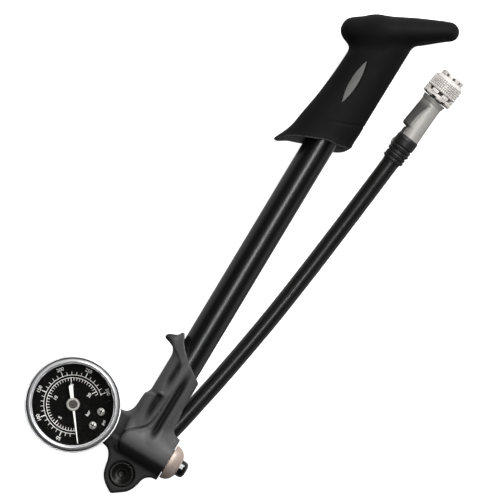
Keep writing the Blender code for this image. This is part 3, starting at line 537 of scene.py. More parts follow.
def capped(flat, along, start, end, rounding):
    """Give a flat field a thickness, or close a tube at both ends, with rounded rims."""
    depth = np.abs(along - (start + end) / 2.0) - (end - start) / 2.0 + rounding
    side = flat + rounding
    outside = np.hypot(np.maximum(side, 0.0), np.maximum(depth, 0.0))
    return outside + np.minimum(np.maximum(side, depth), 0.0) - rounding


def superround(x, y, half_x, half_y, power):
    """Return roughly the distance to a superellipse."""
    size = (np.abs(x / half_x) ** power + np.abs(y / half_y) ** power) ** (1.0 / power)
    return (size - 1.0) * np.minimum(half_x, half_y)


def step_up(value, start, end):
    """Rise smoothly from 0 to 1 between two values."""
    t = np.clip((value - start) / (end - start), 0.0, 1.0)
    return t * t * (3.0 - 2.0 * t)


def through(stations, at):
    """Return a smooth value through (place, value) stations."""
    places = np.array([s[0] for s in stations])
    values = np.array([s[1] for s in stations])
    slopes = np.gradient(values, places)
    at = np.clip(at, places[0], places[-1])
    k = np.clip(np.searchsorted(places, at, side="right") - 1, 0, len(places) - 2)
    width = places[k + 1] - places[k]
    t = (at - places[k]) / width
    return ((2 * t ** 3 - 3 * t ** 2 + 1) * values[k] + (t ** 3 - 2 * t ** 2 + t) * width * slopes[k]
            + (3 * t ** 2 - 2 * t ** 3) * values[k + 1] + (t ** 3 - t ** 2) * width * slopes[k + 1])


def skin(shape, low, high, step):
    """Mesh the zero surface of shape(x, y, z) inside a box, and return it as a bmesh."""
    axes = [np.arange(a, b + step, step) for a, b in zip(low, high)]
    values = shape(axes[0][:, None, None], axes[1][None, :, None], axes[2][None, None, :])
    values = np.broadcast_to(values, [len(a) for a in axes])
    cells = [len(a) - 1 for a in axes]
    total = np.zeros((*cells, 3))
    count = np.zeros(cells)
    crossings = []
    for axis in range(3):
        moved = np.moveaxis(values, axis, 0)
        first, second = moved[:-1], moved[1:]
        crossing = (first < 0) != (second < 0)
        share = np.where(crossing, first / np.where(crossing, first - second, 1.0), 0.0)
        others = [k for k in range(3) if k != axis]
        total_view = np.moveaxis(total, axis, 0)
        count_view = np.moveaxis(count, axis, 0)
        wide, deep = crossing.shape[1] - 1, crossing.shape[2] - 1
        for u in (0, 1):
            for v in (0, 1):
                part = (slice(None), slice(u, u + wide), slice(v, v + deep))
                count_view += crossing[part]
                total_view[..., axis] += share[part]
                total_view[..., others[0]] += crossing[part] * u
                total_view[..., others[1]] += crossing[part] * v
        crossings.append((crossing, first < 0))
    used = count > 0
    index = np.full(cells, -1)
    index[used] = np.arange(used.sum())
    places = np.argwhere(used) + total[used] / count[used][:, None]
    points = np.array(low) + places * step
    points = settle(shape, points, step)
    quads = []
    for axis, (crossing, inside) in enumerate(crossings):
        view = np.moveaxis(index, axis, 0)
        i, j, k = np.nonzero(crossing[:, 1:-1, 1:-1])
        ring = np.stack([view[i, j + 1, k + 1], view[i, j, k + 1], view[i, j, k], view[i, j + 1, k]], 1)
        flip = inside[i, j + 1, k + 1] != (axis == 1)
        ring[~flip] = ring[~flip][:, ::-1]
        quads.append(ring)
    mesh = bpy.data.meshes.new("skin")
    mesh.from_pydata(points.tolist(), [], np.concatenate(quads).tolist())
    solid = bmesh.new()
    solid.from_mesh(mesh)
    bpy.data.meshes.remove(mesh)
    return solid


def settle(shape, points, step):
    """Move points onto the zero surface, by a small share of the mesh's step at a time."""
    reach = 0.25 * step
    longest = 0.3 * step
    for _ in range(3):
        x, y, z = points.T
        value = shape(x, y, z)
        slope = np.stack([shape(x + reach, y, z) - shape(x - reach, y, z),
                          shape(x, y + reach, z) - shape(x, y - reach, z),
                          shape(x, y, z + reach) - shape(x, y, z - reach)], 1) / (2.0 * reach)
        steep = np.maximum((slope ** 2).sum(1), 0.05)
        move = (value / steep)[:, None] * slope
        points = points - np.clip(move, -longest, longest)
    return points


# ---------------- foot

FOOT_OUTLINE = [
    (-16.5, 25.2), (-13.2, 25.9), (-11.3, 28.2), (-10.4, 31.5), (-10.2, 37.0), (-8.0, 39.4),
    (0.0, 40.0), (8.0, 39.0), (9.4, 33.0), (10.2, 29.3), (12.0, 27.3), (15.6, 26.4),
    (15.6, 6.1), (12.9, 5.9), (11.1, 4.9), (9.8, 3.6), (9.1, 2.0), (8.7, -0.3), (7.9, -2.9),
    (6.8, -4.9), (5.2, -6.5), (2.8, -8.2), (0.8, -9.7), (0.0, -10.0), (-0.8, -9.7), (-3.0, -8.3),
    (-4.8, -7.0), (-6.5, -5.1), (-7.5, -3.2), (-8.3, -0.2), (-8.7, 2.2), (-9.6, 4.4), (-11.0, 6.5),
    (-13.0, 7.8), (-16.5, 8.3),
]
HORN_OUTLINE = [
    (-4.0, 57.5), (-7.6, 60.8), (-8.8, 61.7), (-11.0, 63.4), (-14.2, 64.6), (-15.2, 65.6), (-14.1, 66.8),
    (-11.3, 67.9), (-9.4, 69.1), (-8.6, 71.2), (-6.0, 70.0), (-2.0, 66.0), (0.0, 62.0),
]
# Thicker shoulder at the lower left of the collar, with its scalloped upper edge
SHOULDER_OUTLINE = [
    (-12.0, 18.0), (-12.0, 37.3), (-10.2, 38.0), (-8.4, 39.1), (-6.6, 40.0), (-5.0, 41.2), (-3.6, 42.4),
    (-2.4, 41.0), (-1.7, 37.0), (-1.2, 31.0), (-1.6, 26.5), (-4.0, 22.5), (-8.0, 18.0),
]
# Crease that bounds the cross tube's bulge and runs up the collar
CREASE = [
    (1.0, 50.0), (0.8, 44.0), (0.4, 38.0), (0.3, 33.0), (-0.3, 28.0), (-1.5, 25.0), (-4.0, 22.5),
    (-7.0, 20.0), (-9.0, 17.5), (-9.6, 15.0), (-9.2, 12.0), (-7.8, 9.6),
]
# What is cut off above the collar's slanting rim
COLLAR_RIM = [
    (-30.0, 71.0), (-8.5, 70.9), (-7.6, 69.4), (-6.5, 67.2), (-4.0, 64.2), (0.0, 60.5), (5.0, 57.0),
    (9.2, 54.0), (14.0, 50.6), (30.0, 40.0), (30.0, 90.0), (-30.0, 90.0),
]
# Lower edge of the raised band under the collar's rim, from the horn's root downwards
BAND_EDGE = [
    (-20.0, 63.9), (-12.0, 63.8), (-10.0, 63.0), (-7.5, 61.7), (-5.0, 60.0), (-3.3, 58.0), (-2.0, 56.0),
    (-0.5, 51.0), (20.0, 51.0),
]


def groove(distance, width, depth):
    """Return the depth of a soft groove at a distance from its middle."""
    return depth * np.exp(-(distance / width) ** 2)


def flutes(x, y):
    """Return the depth of the three sunken flutes that run up the collar's front."""
    channel = groove(x - 3.2, 1.55, 1.95) * step_up(y, 19.0, 27.0) * (1.0 - step_up(y, 46.0, 60.0))
    left_flute = groove(x + 3.2, 1.5, 1.2) * step_up(y, 42.0, 50.0) * (1.0 - step_up(y, 55.0, 59.5))
    pocket = groove(x + 3.8, 2.0, 1.5) * step_up(y, 22.0, 35.0) * (1.0 - step_up(y, 39.5, 41.8))
    return channel + left_flute + pocket


def foot_shape(x, y, z):
    """Distance field of the moulded foot."""
    pivot_away = np.hypot(x, y)
    cross_away = np.hypot(y - CROSS_Y, z - CROSS_Z)
    gauge_away = np.hypot(x - GAUGE_CENTRE.x, y - GAUGE_CENTRE.y)
    plane = outline_distance(x, y, rounded_outline(FOOT_OUTLINE))
    plate = capped(plane, z, FOOT_BACK, 19.4, 1.6)
    lug = capped(np.maximum(plane, y - 14.0), z, FOOT_BACK, 22.2, 1.3)
    bulge = capped(cross_away - CROSS_R, x, -9.6, 17.5, 2.6)
    dip = 1.2 * step_up(-x, 7.0, 15.0)
    neck = capped(superround(y - 16.4, z - 15.0 + dip, 8.0, 7.2, 2.1), x, -30.0, -4.0, 2.0)
    collar = capped(superround(x - 0.3, z - BARREL_Z, 8.85, 9.35, 2.75), y, 20.0, 90.0, 1.0)
    shoulder = capped(outline_distance(x, y, SHOULDER_OUTLINE), z, FOOT_BACK, 30.0, 0.6)
    shoulder = overlap(shoulder, superround(x - 0.2, z - BARREL_Z, 10.35, 10.0, 2.6), 0.8)
    horn = capped(outline_distance(x, y, rounded_outline(HORN_OUTLINE)), z,
                  BARREL_Z - 6.2, BARREL_Z + 7.2, 2.2)

    solid = plate
    for part, blend in (
            (neck, 2.5), (lug, 0.9), (collar, 3.0), (shoulder, 0.8 + 3.2 * (1.0 - step_up(y, 22.0, 31.0))),
            (horn, 2.6), (bulge, 1.3 + 3.7 * step_up(x, -1.0, 5.0) * step_up(y, 14.0, 18.0))):
        solid = merge(solid, part, blend)
    solid = overlap(solid, x - FOOT_FACE, 0.35)

    front = step_up(z, 15.0, 18.0)
    crease = groove(path_distance(x, y, CREASE), 0.55, 0.85) * (1.0 - step_up(y, 36.0, 49.0))
    side_flute = groove(x - 8.6, 0.8, 0.5) * step_up(y, 30.0, 36.0)
    band_edge = through(BAND_EDGE, x)
    band = 0.6 * step_up(y - band_edge, -0.5, 0.4) * (1.0 - step_up(x, -3.0, 0.0))
    solid = solid + front * (flutes(x, y) + crease + side_flute - band)

    rim = outline_distance(x, y, COLLAR_RIM)
    back = np.maximum(z - FOOT_BACK, y - 37.0)
    case_room = gauge_away - CASE_R - 0.1
    bezel_room = np.maximum(gauge_away - GAUGE_R - 0.35, CASE_TOP - 0.1 - z)
    bore = np.maximum(np.hypot(x, z - BARREL_Z) - BARREL_R - 0.12, 38.0 - y)
    counterbore = np.maximum(pivot_away - 6.2, 18.3 - z)
    screw_hole = pivot_away - 2.5
    seat = np.maximum(cross_away - 6.2, 6.0 - x)
    for cutter, blend in ((rim, 0.5), (back, 0.4), (case_room, 0.4), (bezel_room, 0.4), (bore, 0.25),
                          (counterbore, 0.5), (screw_hole, 0.2), (seat, 0.3)):
        solid = carve(solid, cutter, blend)
    return solid


def mark_recess(obj, amount):
    """Store, by amount(x, y, z), how much of the material's painted light and shade each point of a piece
    gets.
    """
    places = np.empty(3 * len(obj.data.vertices))
    obj.data.vertices.foreach_get("co", places)
    x, y, z = places.reshape(-1, 3).T / MM
    painted_light_shade = obj.data.attributes.new("painted_light_shade", "FLOAT", "POINT")
    painted_light_shade.data.foreach_set("value", np.clip(amount(x, y, z), 0.0, 1.0))


def make_foot(look):
    solid = skin(foot_shape, (-17.2, -11.0, 5.0), (16.4, 73.0, 28.0), 0.36)
    obj = piece("foot_moulding", solid, look["nylon"], "foot", 60.0)

    def duller(x, y, z):
        """Paint shade on the floors of the flutes, the neck, the horn's tip, the lug and the under side of
        the cross tube; these marks also make them duller.
        """
        fluted = flutes(x, y) * step_up(z, 16.0, 19.0) / 1.2
        neck = step_up(-9.2 - x, 0.0, 1.2)
        under = step_up(14.6 - y, 0.0, 2.6) * (0.95 - 0.17 * step_up(8.6 - y, 0.0, 1.4))
        tip = 0.75 * step_up(-9.5 - x, 0.0, 4.0) * step_up(y, 60.0, 63.0)
        shaded = np.maximum(under, 0.75 * neck * step_up(26.0 - y, 0.0, 2.0)) * step_up(z, 8.0, 12.0)
        return np.maximum(np.maximum(fluted, tip), shaded)

    mark_recess(obj, duller)
    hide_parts("base_body")


def make_barrel(look):
    place = axis_frame((0.0, 0.0, BARREL_Z), (0.0, 1.0, 0.0))
    low, high = BARREL_LOW.y, BARREL_HIGH.y
    bore = BARREL_R - BARREL_WALL
    obj = turned("barrel_sleeve", [
        (BARREL_R, low + 0.3), (BARREL_R, high - 0.5), (BARREL_R - 0.5, high), (bore, high), (bore, low),
        (BARREL_R - 0.3, low)
    ], 0.25, place, 128, look["anodised"], "foot", sharp=50.0)
    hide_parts("barrel_tube")

    def fluted(angle, r, h):
        """Cut shallow flutes into the bush's rim."""
        return (r - 0.25 if r > 7.0 and within(angle, 24, 0.4) else r), h

    obj = turned("guide_bush", [
        (bore - 0.3, high - 8.0), (bore - 0.3, high + 0.3), (BARREL_R, high + 0.3),
        (BARREL_R, high + 1.9), (BARREL_R - 0.6, high + 2.4), (3.3, high + 2.4), (3.3, high - 8.0)
    ], 0.2, place, 96, look["nylon"], "foot", change=fluted)
    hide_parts("barrel_gland")
    obj = turned("wiper_ring", [
        (5.6, high + 2.7), (5.2, high + 3.8), (3.3, high + 4.2), (3.3, high + 2.7)
    ], 0.25, place, 64, look["seal"], "foot")
    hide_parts("rod_wiper")


# ---------------- gauge

def gauge_place(turn=0.0):
    """Return the gauge's own frame, turned about its axis."""
    return Matrix.Translation((GAUGE_CENTRE.x, GAUGE_CENTRE.y, 0.0)) @ Matrix.Rotation(turn, 4, "Z")


def make_gauge_case(look):
    obj = turned("gauge_can", [
        (0.0, 0.35), (2.2, 0.35), (2.6, 0.0), (12.6, 0.0), (13.0, 0.3), (15.6, 0.3), (16.0, 0.0),
        (CASE_R - 1.3, 0.0), (CASE_R - 0.4, 0.4), (CASE_R, 1.4), (CASE_R, 17.4), (CASE_R - 0.35, 17.8),
        (CASE_R - 0.35, 18.6), (CASE_R, 19.0), (CASE_R, CASE_TOP), (CASE_R - 1.0, CASE_TOP),
        (CASE_R - 1.0, 1.6), (0.0, 1.6)
    ], 0.3, gauge_place(), 128, look["black_steel"], "foot")
    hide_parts("gauge_case")

    # The bezel's outer wall and the groove inside it, a round crown, and the seat of the lens
    r, top = GAUGE_R, CASE_TOP
    wall = [(r + out, top + up) for out, up in (
        (-0.4, 0.3), (0.0, 0.6), (0.15, 1.0), (0.15, 2.6), (0.1, 2.9), (-0.05, 3.0), (-0.1, 3.0),
        (-0.35, 3.0), (-0.4, 3.0), (-0.5, 2.9), (-0.55, 2.3), (-1.1, 2.3))]
    crown = [(DIAL_R + math.cos(math.radians(k)) + 1.0, top + 4.3 + 2.3 * math.sin(math.radians(k)))
             for k in range(0, 176, 12)]
    lens_seat = [(DIAL_R + out, top + up) for out, up in (
        (0.0, 4.3), (0.0, 5.2), (0.3, 5.2), (1.2, 5.1), (1.2, 0.3))]
    bezel = lathe(wall + crown + lens_seat, gauge_place(), 192)
    obj = piece("bezel_ring", bezel, look["chrome"], "foot", 50.0)
    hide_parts("gauge_bezel")

    def groove_floor(x, y, z):
        """Paint shade on the floor of the groove, but not on the outside of the wall."""
        away = np.hypot(x - GAUGE_CENTRE.x, y - GAUGE_CENTRE.y)
        return step_up(top + 2.7 - z, 0.0, 0.2) * (1.0 - step_up(away, r - 0.5, r - 0.42))

    mark_recess(obj, groove_floor)

    obj = turned("lens_disc", [
        (0.0, top + 3.6), (DIAL_R + 0.8, top + 3.6), (DIAL_R + 0.8, top + 4.9), (0.0, top + 4.9)
    ], 0.15, gauge_place(), 128, look["glass"], "foot")
    obj.visible_shadow = False
    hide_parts("gauge_lens")


PSI_PER_BAR = 14.504
DEGREES_PER_PSI = 0.908
FIFTY_PSI_DEGREES = -82.4
PSI_RING, BAR_RING = 13.6, 12.35
PSI_NUMBERS, BAR_NUMBERS = 17.0, 8.6
FIRST_PSI, LAST_PSI, LAST_BAR = 20.0, 303.0, 20.5
NEEDLE_DEGREES = -52.2
NEEDLE_LOW, NEEDLE_HIGH = 23.9, 24.28


def psi_angle(value):
    """Return the direction of a pressure on the dial."""
    return math.radians(FIFTY_PSI_DEGREES - (value - 50.0) * DEGREES_PER_PSI)


def add_bar(solid, place, centre, half_length, half_line, low, high):
    """Add a thin printed stroke that runs along the place's X axis."""
    made = bmesh.ops.create_cube(solid, size=1.0)["verts"]
    size = Matrix.Diagonal((2.0 * half_length, 2.0 * half_line, high - low, 1.0))
    moved = place @ Matrix.Translation((centre, 0.0, (low + high) / 2.0)) @ size
    bmesh.ops.transform(solid, matrix=moved, verts=made)


def add_arc(solid, radius, half_line, start, end, low, high):
    """Add a printed arc round the dial's centre."""
    steps = 90
    rings = []
    for k in range(steps + 1):
        place = gauge_place(start + (end - start) * k / steps)
        rings.append([solid.verts.new(place @ Vector((radius + across, 0.0, height)))
                      for across, height in ((-half_line, low), (half_line, low),
                                             (half_line, high), (-half_line, high))])
    for first, second in zip(rings, rings[1:]):
        add_walls(solid, first, second)
    solid.faces.new(list(reversed(rings[0])))
    solid.faces.new(rings[-1])


def add_words(solid, words, size, place, thickness):
    """Add printed characters, centred on the place."""
    curve = bpy.data.curves.new("words", "FONT")
    curve.body = words
    curve.size = size
    curve.align_x = "CENTER"
    curve.align_y = "CENTER"
    curve.extrude = thickness / 2.0
    curve.resolution_u = 3
    holder = show("words", curve)
    bpy.context.view_layer.update()
    shown = holder.evaluated_get(bpy.context.evaluated_depsgraph_get())
    mesh = shown.to_mesh()
    mesh.transform(place)
    solid.from_mesh(mesh)
    shown.to_mesh_clear()
    bpy.data.objects.remove(holder)
    bpy.data.curves.remove(curve)


def make_dial(look):
    place = gauge_place()
    face = lathe([(DIAL_R + 0.3, DIAL_TOP - 0.6), (DIAL_R + 0.3, DIAL_TOP), (1.5, DIAL_TOP),
                  (1.5, DIAL_TOP - 0.6)], place, 128)
    obj = piece("dial_face", face, look["dial"], "foot")
    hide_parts("gauge_dial")

    low, high = DIAL_TOP + 0.01, DIAL_TOP + 0.05
    printed = bmesh.new()
    first = psi_angle(FIRST_PSI)
    add_arc(printed, PSI_RING, 0.11, first, psi_angle(LAST_PSI), low, high)
    add_arc(printed, BAR_RING, 0.10, first, psi_angle(LAST_BAR * PSI_PER_BAR), low, high)
    ticks = [(value, value % 50 == 0, PSI_RING, 1.15, 0.75) for value in range(30, 301, 10)]
    ticks += [(half_bar * 0.5 * PSI_PER_BAR, half_bar % 10 == 0, BAR_RING, -1.1, -0.68)
              for half_bar in range(3, 42)]
    for value, major, ring, long_reach, short_reach in ticks:
        reach = long_reach if major else short_reach
        add_bar(printed, gauge_place(psi_angle(value)), ring + reach, abs(reach),
                0.16 if major else 0.10, low, high)
    lift = Matrix.Translation((0.0, 0.0, (low + high) / 2.0))
    upright = Matrix.Rotation(-math.pi / 2.0, 4, "Z")
    for value in range(50, 301, 50):
        spot = gauge_place(psi_angle(value)) @ Matrix.Translation((PSI_NUMBERS, 0.0, 0.0))
        spot = spot @ upright @ lift
        add_words(printed, str(value), 2.3, spot, high - low)
    dial_up = Matrix.Rotation(math.pi / 2.0, 4, "Z")
    for value in (5, 10, 15, 20):
        direction = psi_angle(value * PSI_PER_BAR)
        spot = place @ Matrix.Translation((BAR_NUMBERS * math.cos(direction),
                                           BAR_NUMBERS * math.sin(direction), 0.0))
        add_words(printed, str(value), 2.2, spot @ dial_up @ lift, high - low)
    for word, distance in (("bar", 8.1), ("psi", 16.4)):
        spot = place @ Matrix.Translation((distance, 0.0, 0.0)) @ dial_up @ lift
        add_words(printed, word, 2.1, spot, high - low)
    piece("dial_scale", printed, look["print"], "foot")

    seat = DIAL_TOP + 0.3

    def crossed(angle, r, h):
        """Press a cross into the head."""
        inside = h > seat + 0.5 and r < 1.35
        if inside and r * min(abs(math.sin(angle)), abs(math.cos(angle))) < 0.27:
            return r, seat + 0.3
        return r, h

    def cross_floor(x, y, z):
        """Paint shade on the floor of the cross."""
        return step_up(seat + 0.4 - z, 0.0, 0.05) * step_up(z - seat, 0.2, 0.25)

    profile = [(0.0, seat - 1.9), (0.8, seat - 1.9), (0.8, seat), (1.75, seat), (1.85, seat + 0.1),
               (1.85, seat + 0.35)]
    profile += [(1.85 - 0.15 * k, seat + 1.15 - 0.7 * (1.0 - k / 12.0) ** 3) for k in range(1, 12)]
    profile.append((0.0, seat + 0.3))
    for name in ("dial_screw_upper", "dial_screw_lower"):
        spot = Vector((middle(name).x, middle(name).y, 0.0))
        head = lathe(profile, Matrix.Translation(spot), 96, crossed)
        obj = piece(name.replace("dial", "round"), head, look["plated"], "foot")
        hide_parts(name)
        mark_recess(obj, cross_floor)


def make_needle(look):
    place = gauge_place(math.radians(NEEDLE_DEGREES))
    outline = [(18.2, 0.17), (10.0, 0.34), (3.0, 0.52), (-2.6, 0.78), (-7.0, 0.92), (-8.3, 0.95),
               (-8.85, 0.6), (-9.0, 0.0)]
    outline += [(x, -y) for x, y in reversed(outline[:-1])]
    solid = bmesh.new()
    bottom = [solid.verts.new(place @ Vector((x, y, NEEDLE_LOW))) for x, y in outline]
    top = [solid.verts.new(place @ Vector((x, y * 0.94, NEEDLE_HIGH))) for x, y in outline]
    solid.faces.new(list(reversed(bottom)))
    solid.faces.new(top)
    add_walls(solid, bottom, top)
    obj = piece("pointer", solid, look["needle"], "needle")
    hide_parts("gauge_needle")
    turned("pointer_hub", [
        (1.95, 23.7), (3.05, 23.7), (3.05, 24.7), (2.75, 25.0), (2.15, 25.0), (1.95, 24.8)
    ], 0.12, place, 64, look["hub"], "needle")
    turned("pointer_cap", [
        (0.0, 23.75), (1.9, 23.75), (1.9, 24.55), (1.5, 24.75), (0.7, 24.7), (0.5, 24.85), (0.0, 24.9)
    ], 0.12, place, 48, look["brass_dark"], "needle")


# ---------------- bleeder and pivot

def make_bleeder(look):
    place = axis_frame((0.0, CROSS_Y, CROSS_Z), (1.0, 0.0, 0.0))
    face = DOME_LOW.x + 10.6
    profile = [(5.9, 5.0), (5.9, face), (8.4, face), (8.45, face + 0.7)]
    for k in range(1, 12):
        angle = math.radians(4.0 + 5.5 * k)
        profile.append((8.45 * math.cos(angle) ** 0.72, face + 0.6 + 5.4 * math.sin(angle)))
    profile += [(4.75, face + 5.68), (4.35, face + 5.6), (4.3, 18.6), (1.6, 18.6), (1.6, 5.0)]
    obj = turned("bleeder_dome", profile, 0.15, place, 128, look["dome"], "foot", sharp=50.0)
    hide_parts("bleeder_housing")

    obj = turned("push_button", [
        (0.0, 23.4), (3.1, 23.4), (3.1, 20.7), (4.0, 20.7), (4.0, 23.0), (3.75, 24.0), (3.1, 24.7),
        (2.0, 25.05), (0.0, 25.15)
    ], 0.35, place, 96, look["button"], "bleeder", sharp=60.0)
    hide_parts("bleeder_button")


def make_pivot(look):
    upright = Matrix.Identity(4)
    seat = corners("pivot_screw")[1].z - 2.8

    def socket(angle, r, h):
        """Give the socket's wall six flats."""
        if r > 1.76 or h < seat + 0.4:
            return r, h
        from_flat = (angle + math.pi / 6.0) % (math.pi / 3.0) - math.pi / 6.0
        return r * 0.9 / math.cos(from_flat), h

    obj = turned("pivot_bolt", [
        (0.0, 5.0), (1.9, 5.0), (1.9, seat), (5.6, seat), (5.6, seat + 2.1), (5.45, seat + 2.3),
        (4.6, seat + 2.3), (3.6, seat + 1.9), (2.6, seat + 1.65), (1.75, seat + 1.6), (1.7, seat + 0.5),
        (0.0, seat + 0.4)
    ], 0.3, upright, 96, look["screw"], "foot", sharp=40.0, change=socket)
    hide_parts("pivot_screw")

    obj = turned("pivot_sleeve", [
        (0.0, 0.35), (2.4, 0.35), (2.7, 0.0), (5.0, 0.0), (5.4, 0.4), (5.4, 1.6), (3.5, 1.6), (3.5, 16.0),
        (2.2, 16.0), (2.2, 4.0), (0.0, 4.0)
    ], 0.2, upright, 96, look["steel"], "foot")
    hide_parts("pivot_post")


def hose_coordinates(x, y):
    """Return distances along and across the swivel fitting's line."""
    return (x * math.sin(HOSE_HEADING) + y * math.cos(HOSE_HEADING),
            x * math.cos(HOSE_HEADING) - y * math.sin(HOSE_HEADING))


def eye_shape(x, y, z):
    """Distance field of the swivel eye, with its neck towards the hose."""
    along, across = hose_coordinates(x, y)
    away = np.hypot(x, y)
    eye = capped(away - 7.9, z, 0.3, 8.3, 0.7)
    band = capped(away - 8.05, z, 3.2, 5.4, 0.3)
    neck = capped(superround(across, z - HOSE_Z, 3.9, 3.6, 2.6), along, 4.0, 9.9, 0.4)
    barb = capped(np.hypot(across, z - HOSE_Z) - 2.5, along, 8.0, 19.0, 0.3)
    solid = merge(merge(merge(eye, band, 0.3), neck, 1.2), barb, 0.3)
    bore = away - 3.75
    flange_room = np.maximum(away - 5.75, z - 2.2)
    return carve(carve(solid, bore, 0.2), flange_room, 0.2)


def make_swivel(look):
    solid = skin(eye_shape, (-9.0, -9.0, -0.3), (9.6, 20.0, 9.0), 0.3)
    obj = piece("swivel_fitting", solid, look["black_steel"], "hose_arm", 45.0)
    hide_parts("swivel_eye")
    place = axis_frame((0.0, 0.0, HOSE_Z), (math.sin(HOSE_HEADING), math.cos(HOSE_HEADING), 0.0))
    profile = [(3.1, 10.3), (3.7, 10.3), (4.1, 10.7)]
    for base in (11.6, 13.6, 15.6, 17.6):
        profile += [(4.1, base), (3.85, base + 0.3), (3.85, base + 0.7), (4.1, base + 1.0)]
    profile += [(4.1, 19.6), (3.7, 20.0), (3.1, 20.0)]
    obj = turned("crimped_ferrule", profile, 0.15, place, 96, look["nickel"], "hose_arm")
    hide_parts("hose_ferrule")


# ---------------- hose and chuck

def make_hose(look):
    points = catmull_rom(HOSE_ROUTE, 2)
    curve = bpy.data.curves.new("hose_line", "CURVE")
    curve.dimensions = "3D"
    curve.bevel_depth = HOSE_RADIUS * MM
    curve.bevel_resolution = 12
    curve.resolution_u = 6
    curve.use_fill_caps = True
    spline = curve.splines.new("POLY")
    spline.points.add(len(points) - 1)
    for target, point in zip(spline.points, points):
        target.co = (*(point * MM), 1.0)
    spline.use_smooth = True
    curve.materials.append(look["hose"])
    obj = show("hose_line", curve)
    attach(obj, "hose_arm")
    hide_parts("hose")
    length = sum((b - a).length for a, b in zip(points, points[1:]))
    return obj, length


RIB_PITCH = 2.0
RELIEF_FOOT = Vector((32.70, 189.3, 8.2))
RELIEF_HEAD = Vector((33.92, 201.6, 8.7))


def make_boot(look):
    """Ribbed strain relief, its ribs broken by slots that alternate from row to row."""
    span = RELIEF_HEAD - RELIEF_FOOT
    length = span.length
    profile = [(0.0, -1.0), (4.25, -1.0), (4.25, 0.1)]
    for rib in range(4):
        start = 0.15 + RIB_PITCH * rib
        outer = 4.95 + 0.09 * rib
        profile += [(outer, start + 0.05), (outer, start + 1.35), (outer - 0.45, start + 1.45),
                    (outer - 0.45, start + 1.9)]
    profile += [(5.3, 8.3), (5.4, 9.0), (5.45, length - 0.3), (5.1, length + 0.8), (4.6, length + 1.1),
                (0.0, length + 1.1)]

    def broken(angle, r, h):
        """Fill the grooves between the ribs at two places, which alternate from row to row."""
        row = int((h - 0.1) / RIB_PITCH)
        if 0.2 < h < 8.2 and r < 4.9 + 0.045 * h and within(angle, 2, 0.4, (row % 2) * math.pi / 2.0):
            return r + 0.42, h
        return r, h

    obj = turned("hose_boot", profile, 0.2, axis_frame(RELIEF_FOOT, span), 96, look["boot"],
                 "hose_arm", sharp=45.0, change=broken)
    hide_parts("strain_relief")
    return obj


def chuck_coordinates(x, y):
    """Return distances along and across the chuck's axis."""
    dx, dy = x - CHUCK_ORIGIN.x, y - CHUCK_ORIGIN.y
    return (dx * CHUCK_FORWARD.x + dy * CHUCK_FORWARD.y, dx * CHUCK_SIDE.x + dy * CHUCK_SIDE.y)


def chuck_radius(x, y, z):
    """Return the distance from the line that both chuck rings turn about."""
    return np.hypot(chuck_coordinates(x, y)[1], z - CHUCK_ORIGIN.z)


STEM_FOOT = Vector((34.25, 200.0, 8.95))
STEM_HEAD = Vector((35.25, 221.5, 7.9))
PIN_ALONG, PIN_HEIGHT = -12.7, 5.6
TIP_ALONG, TIP_RIB_PITCH = -24.4, 1.3
RING_SEGMENTS = 384
NOTCHES, NOTCH_FLOOR, NOTCH_SHARE = 8, 6.2, 0.40
FLUTES, KNURLS, WINDOWS = 40, 44, 10
# Seam where the stem runs into the tail barrel, seen from above
SEAM = [(31.0, 203.5), (31.7, 208.0), (32.8, 214.0), (34.7, 219.4)]


def chuck_shape(x, y, z):
    """Distance field of the cast chuck: a tail barrel, a stem that runs into it, and a flange."""
    along, across = chuck_coordinates(x, y)
    away = np.hypot(across, z - CHUCK_ORIGIN.z)
    tail = capped(away - 5.2, along, -15.9, 0.6, 1.5)
    flange = capped(away - 5.6 - 0.35 * step_up(along, 0.2, 1.5), along, -0.2, 1.7, 0.3)
    spigot = capped(away - 3.4, along, 0.0, 8.4, 0.2)
    head = capped(away - 4.4, along, 8.0, 9.3, 0.2)
    span = STEM_HEAD - STEM_FOOT
    length = span.length
    ux, uy, uz = span / length
    dx, dy, dz = x - STEM_FOOT.x, y - STEM_FOOT.y, z - STEM_FOOT.z
    stem_along = dx * ux + dy * uy + dz * uz
    beside = np.sqrt(np.maximum(dx ** 2 + dy ** 2 + dz ** 2 - stem_along ** 2, 1e-9))
    stem = capped(beside - 4.55 - 0.015 * stem_along, stem_along, 0.4, length, 0.4)
    solid = merge(tail, stem, 0.5)
    solid = solid + step_up(z, 8.0, 10.0) * groove(path_distance(x, y, SEAM), 0.5, 0.45)
    solid = merge(solid, flange, 0.7)
    solid = merge(merge(solid, spigot, 0.2), head, 0.2)
    slot = np.maximum(np.maximum(np.abs(across) - 2.4, z - PIN_HEIGHT - 2.95),
                      np.maximum(-18.0 - along, along + 6.6))
    solid = carve(solid, slot, 0.4)
    pin_hole = np.hypot(along - PIN_ALONG, z - PIN_HEIGHT) - 1.15
    return carve(solid, pin_hole, 0.3)


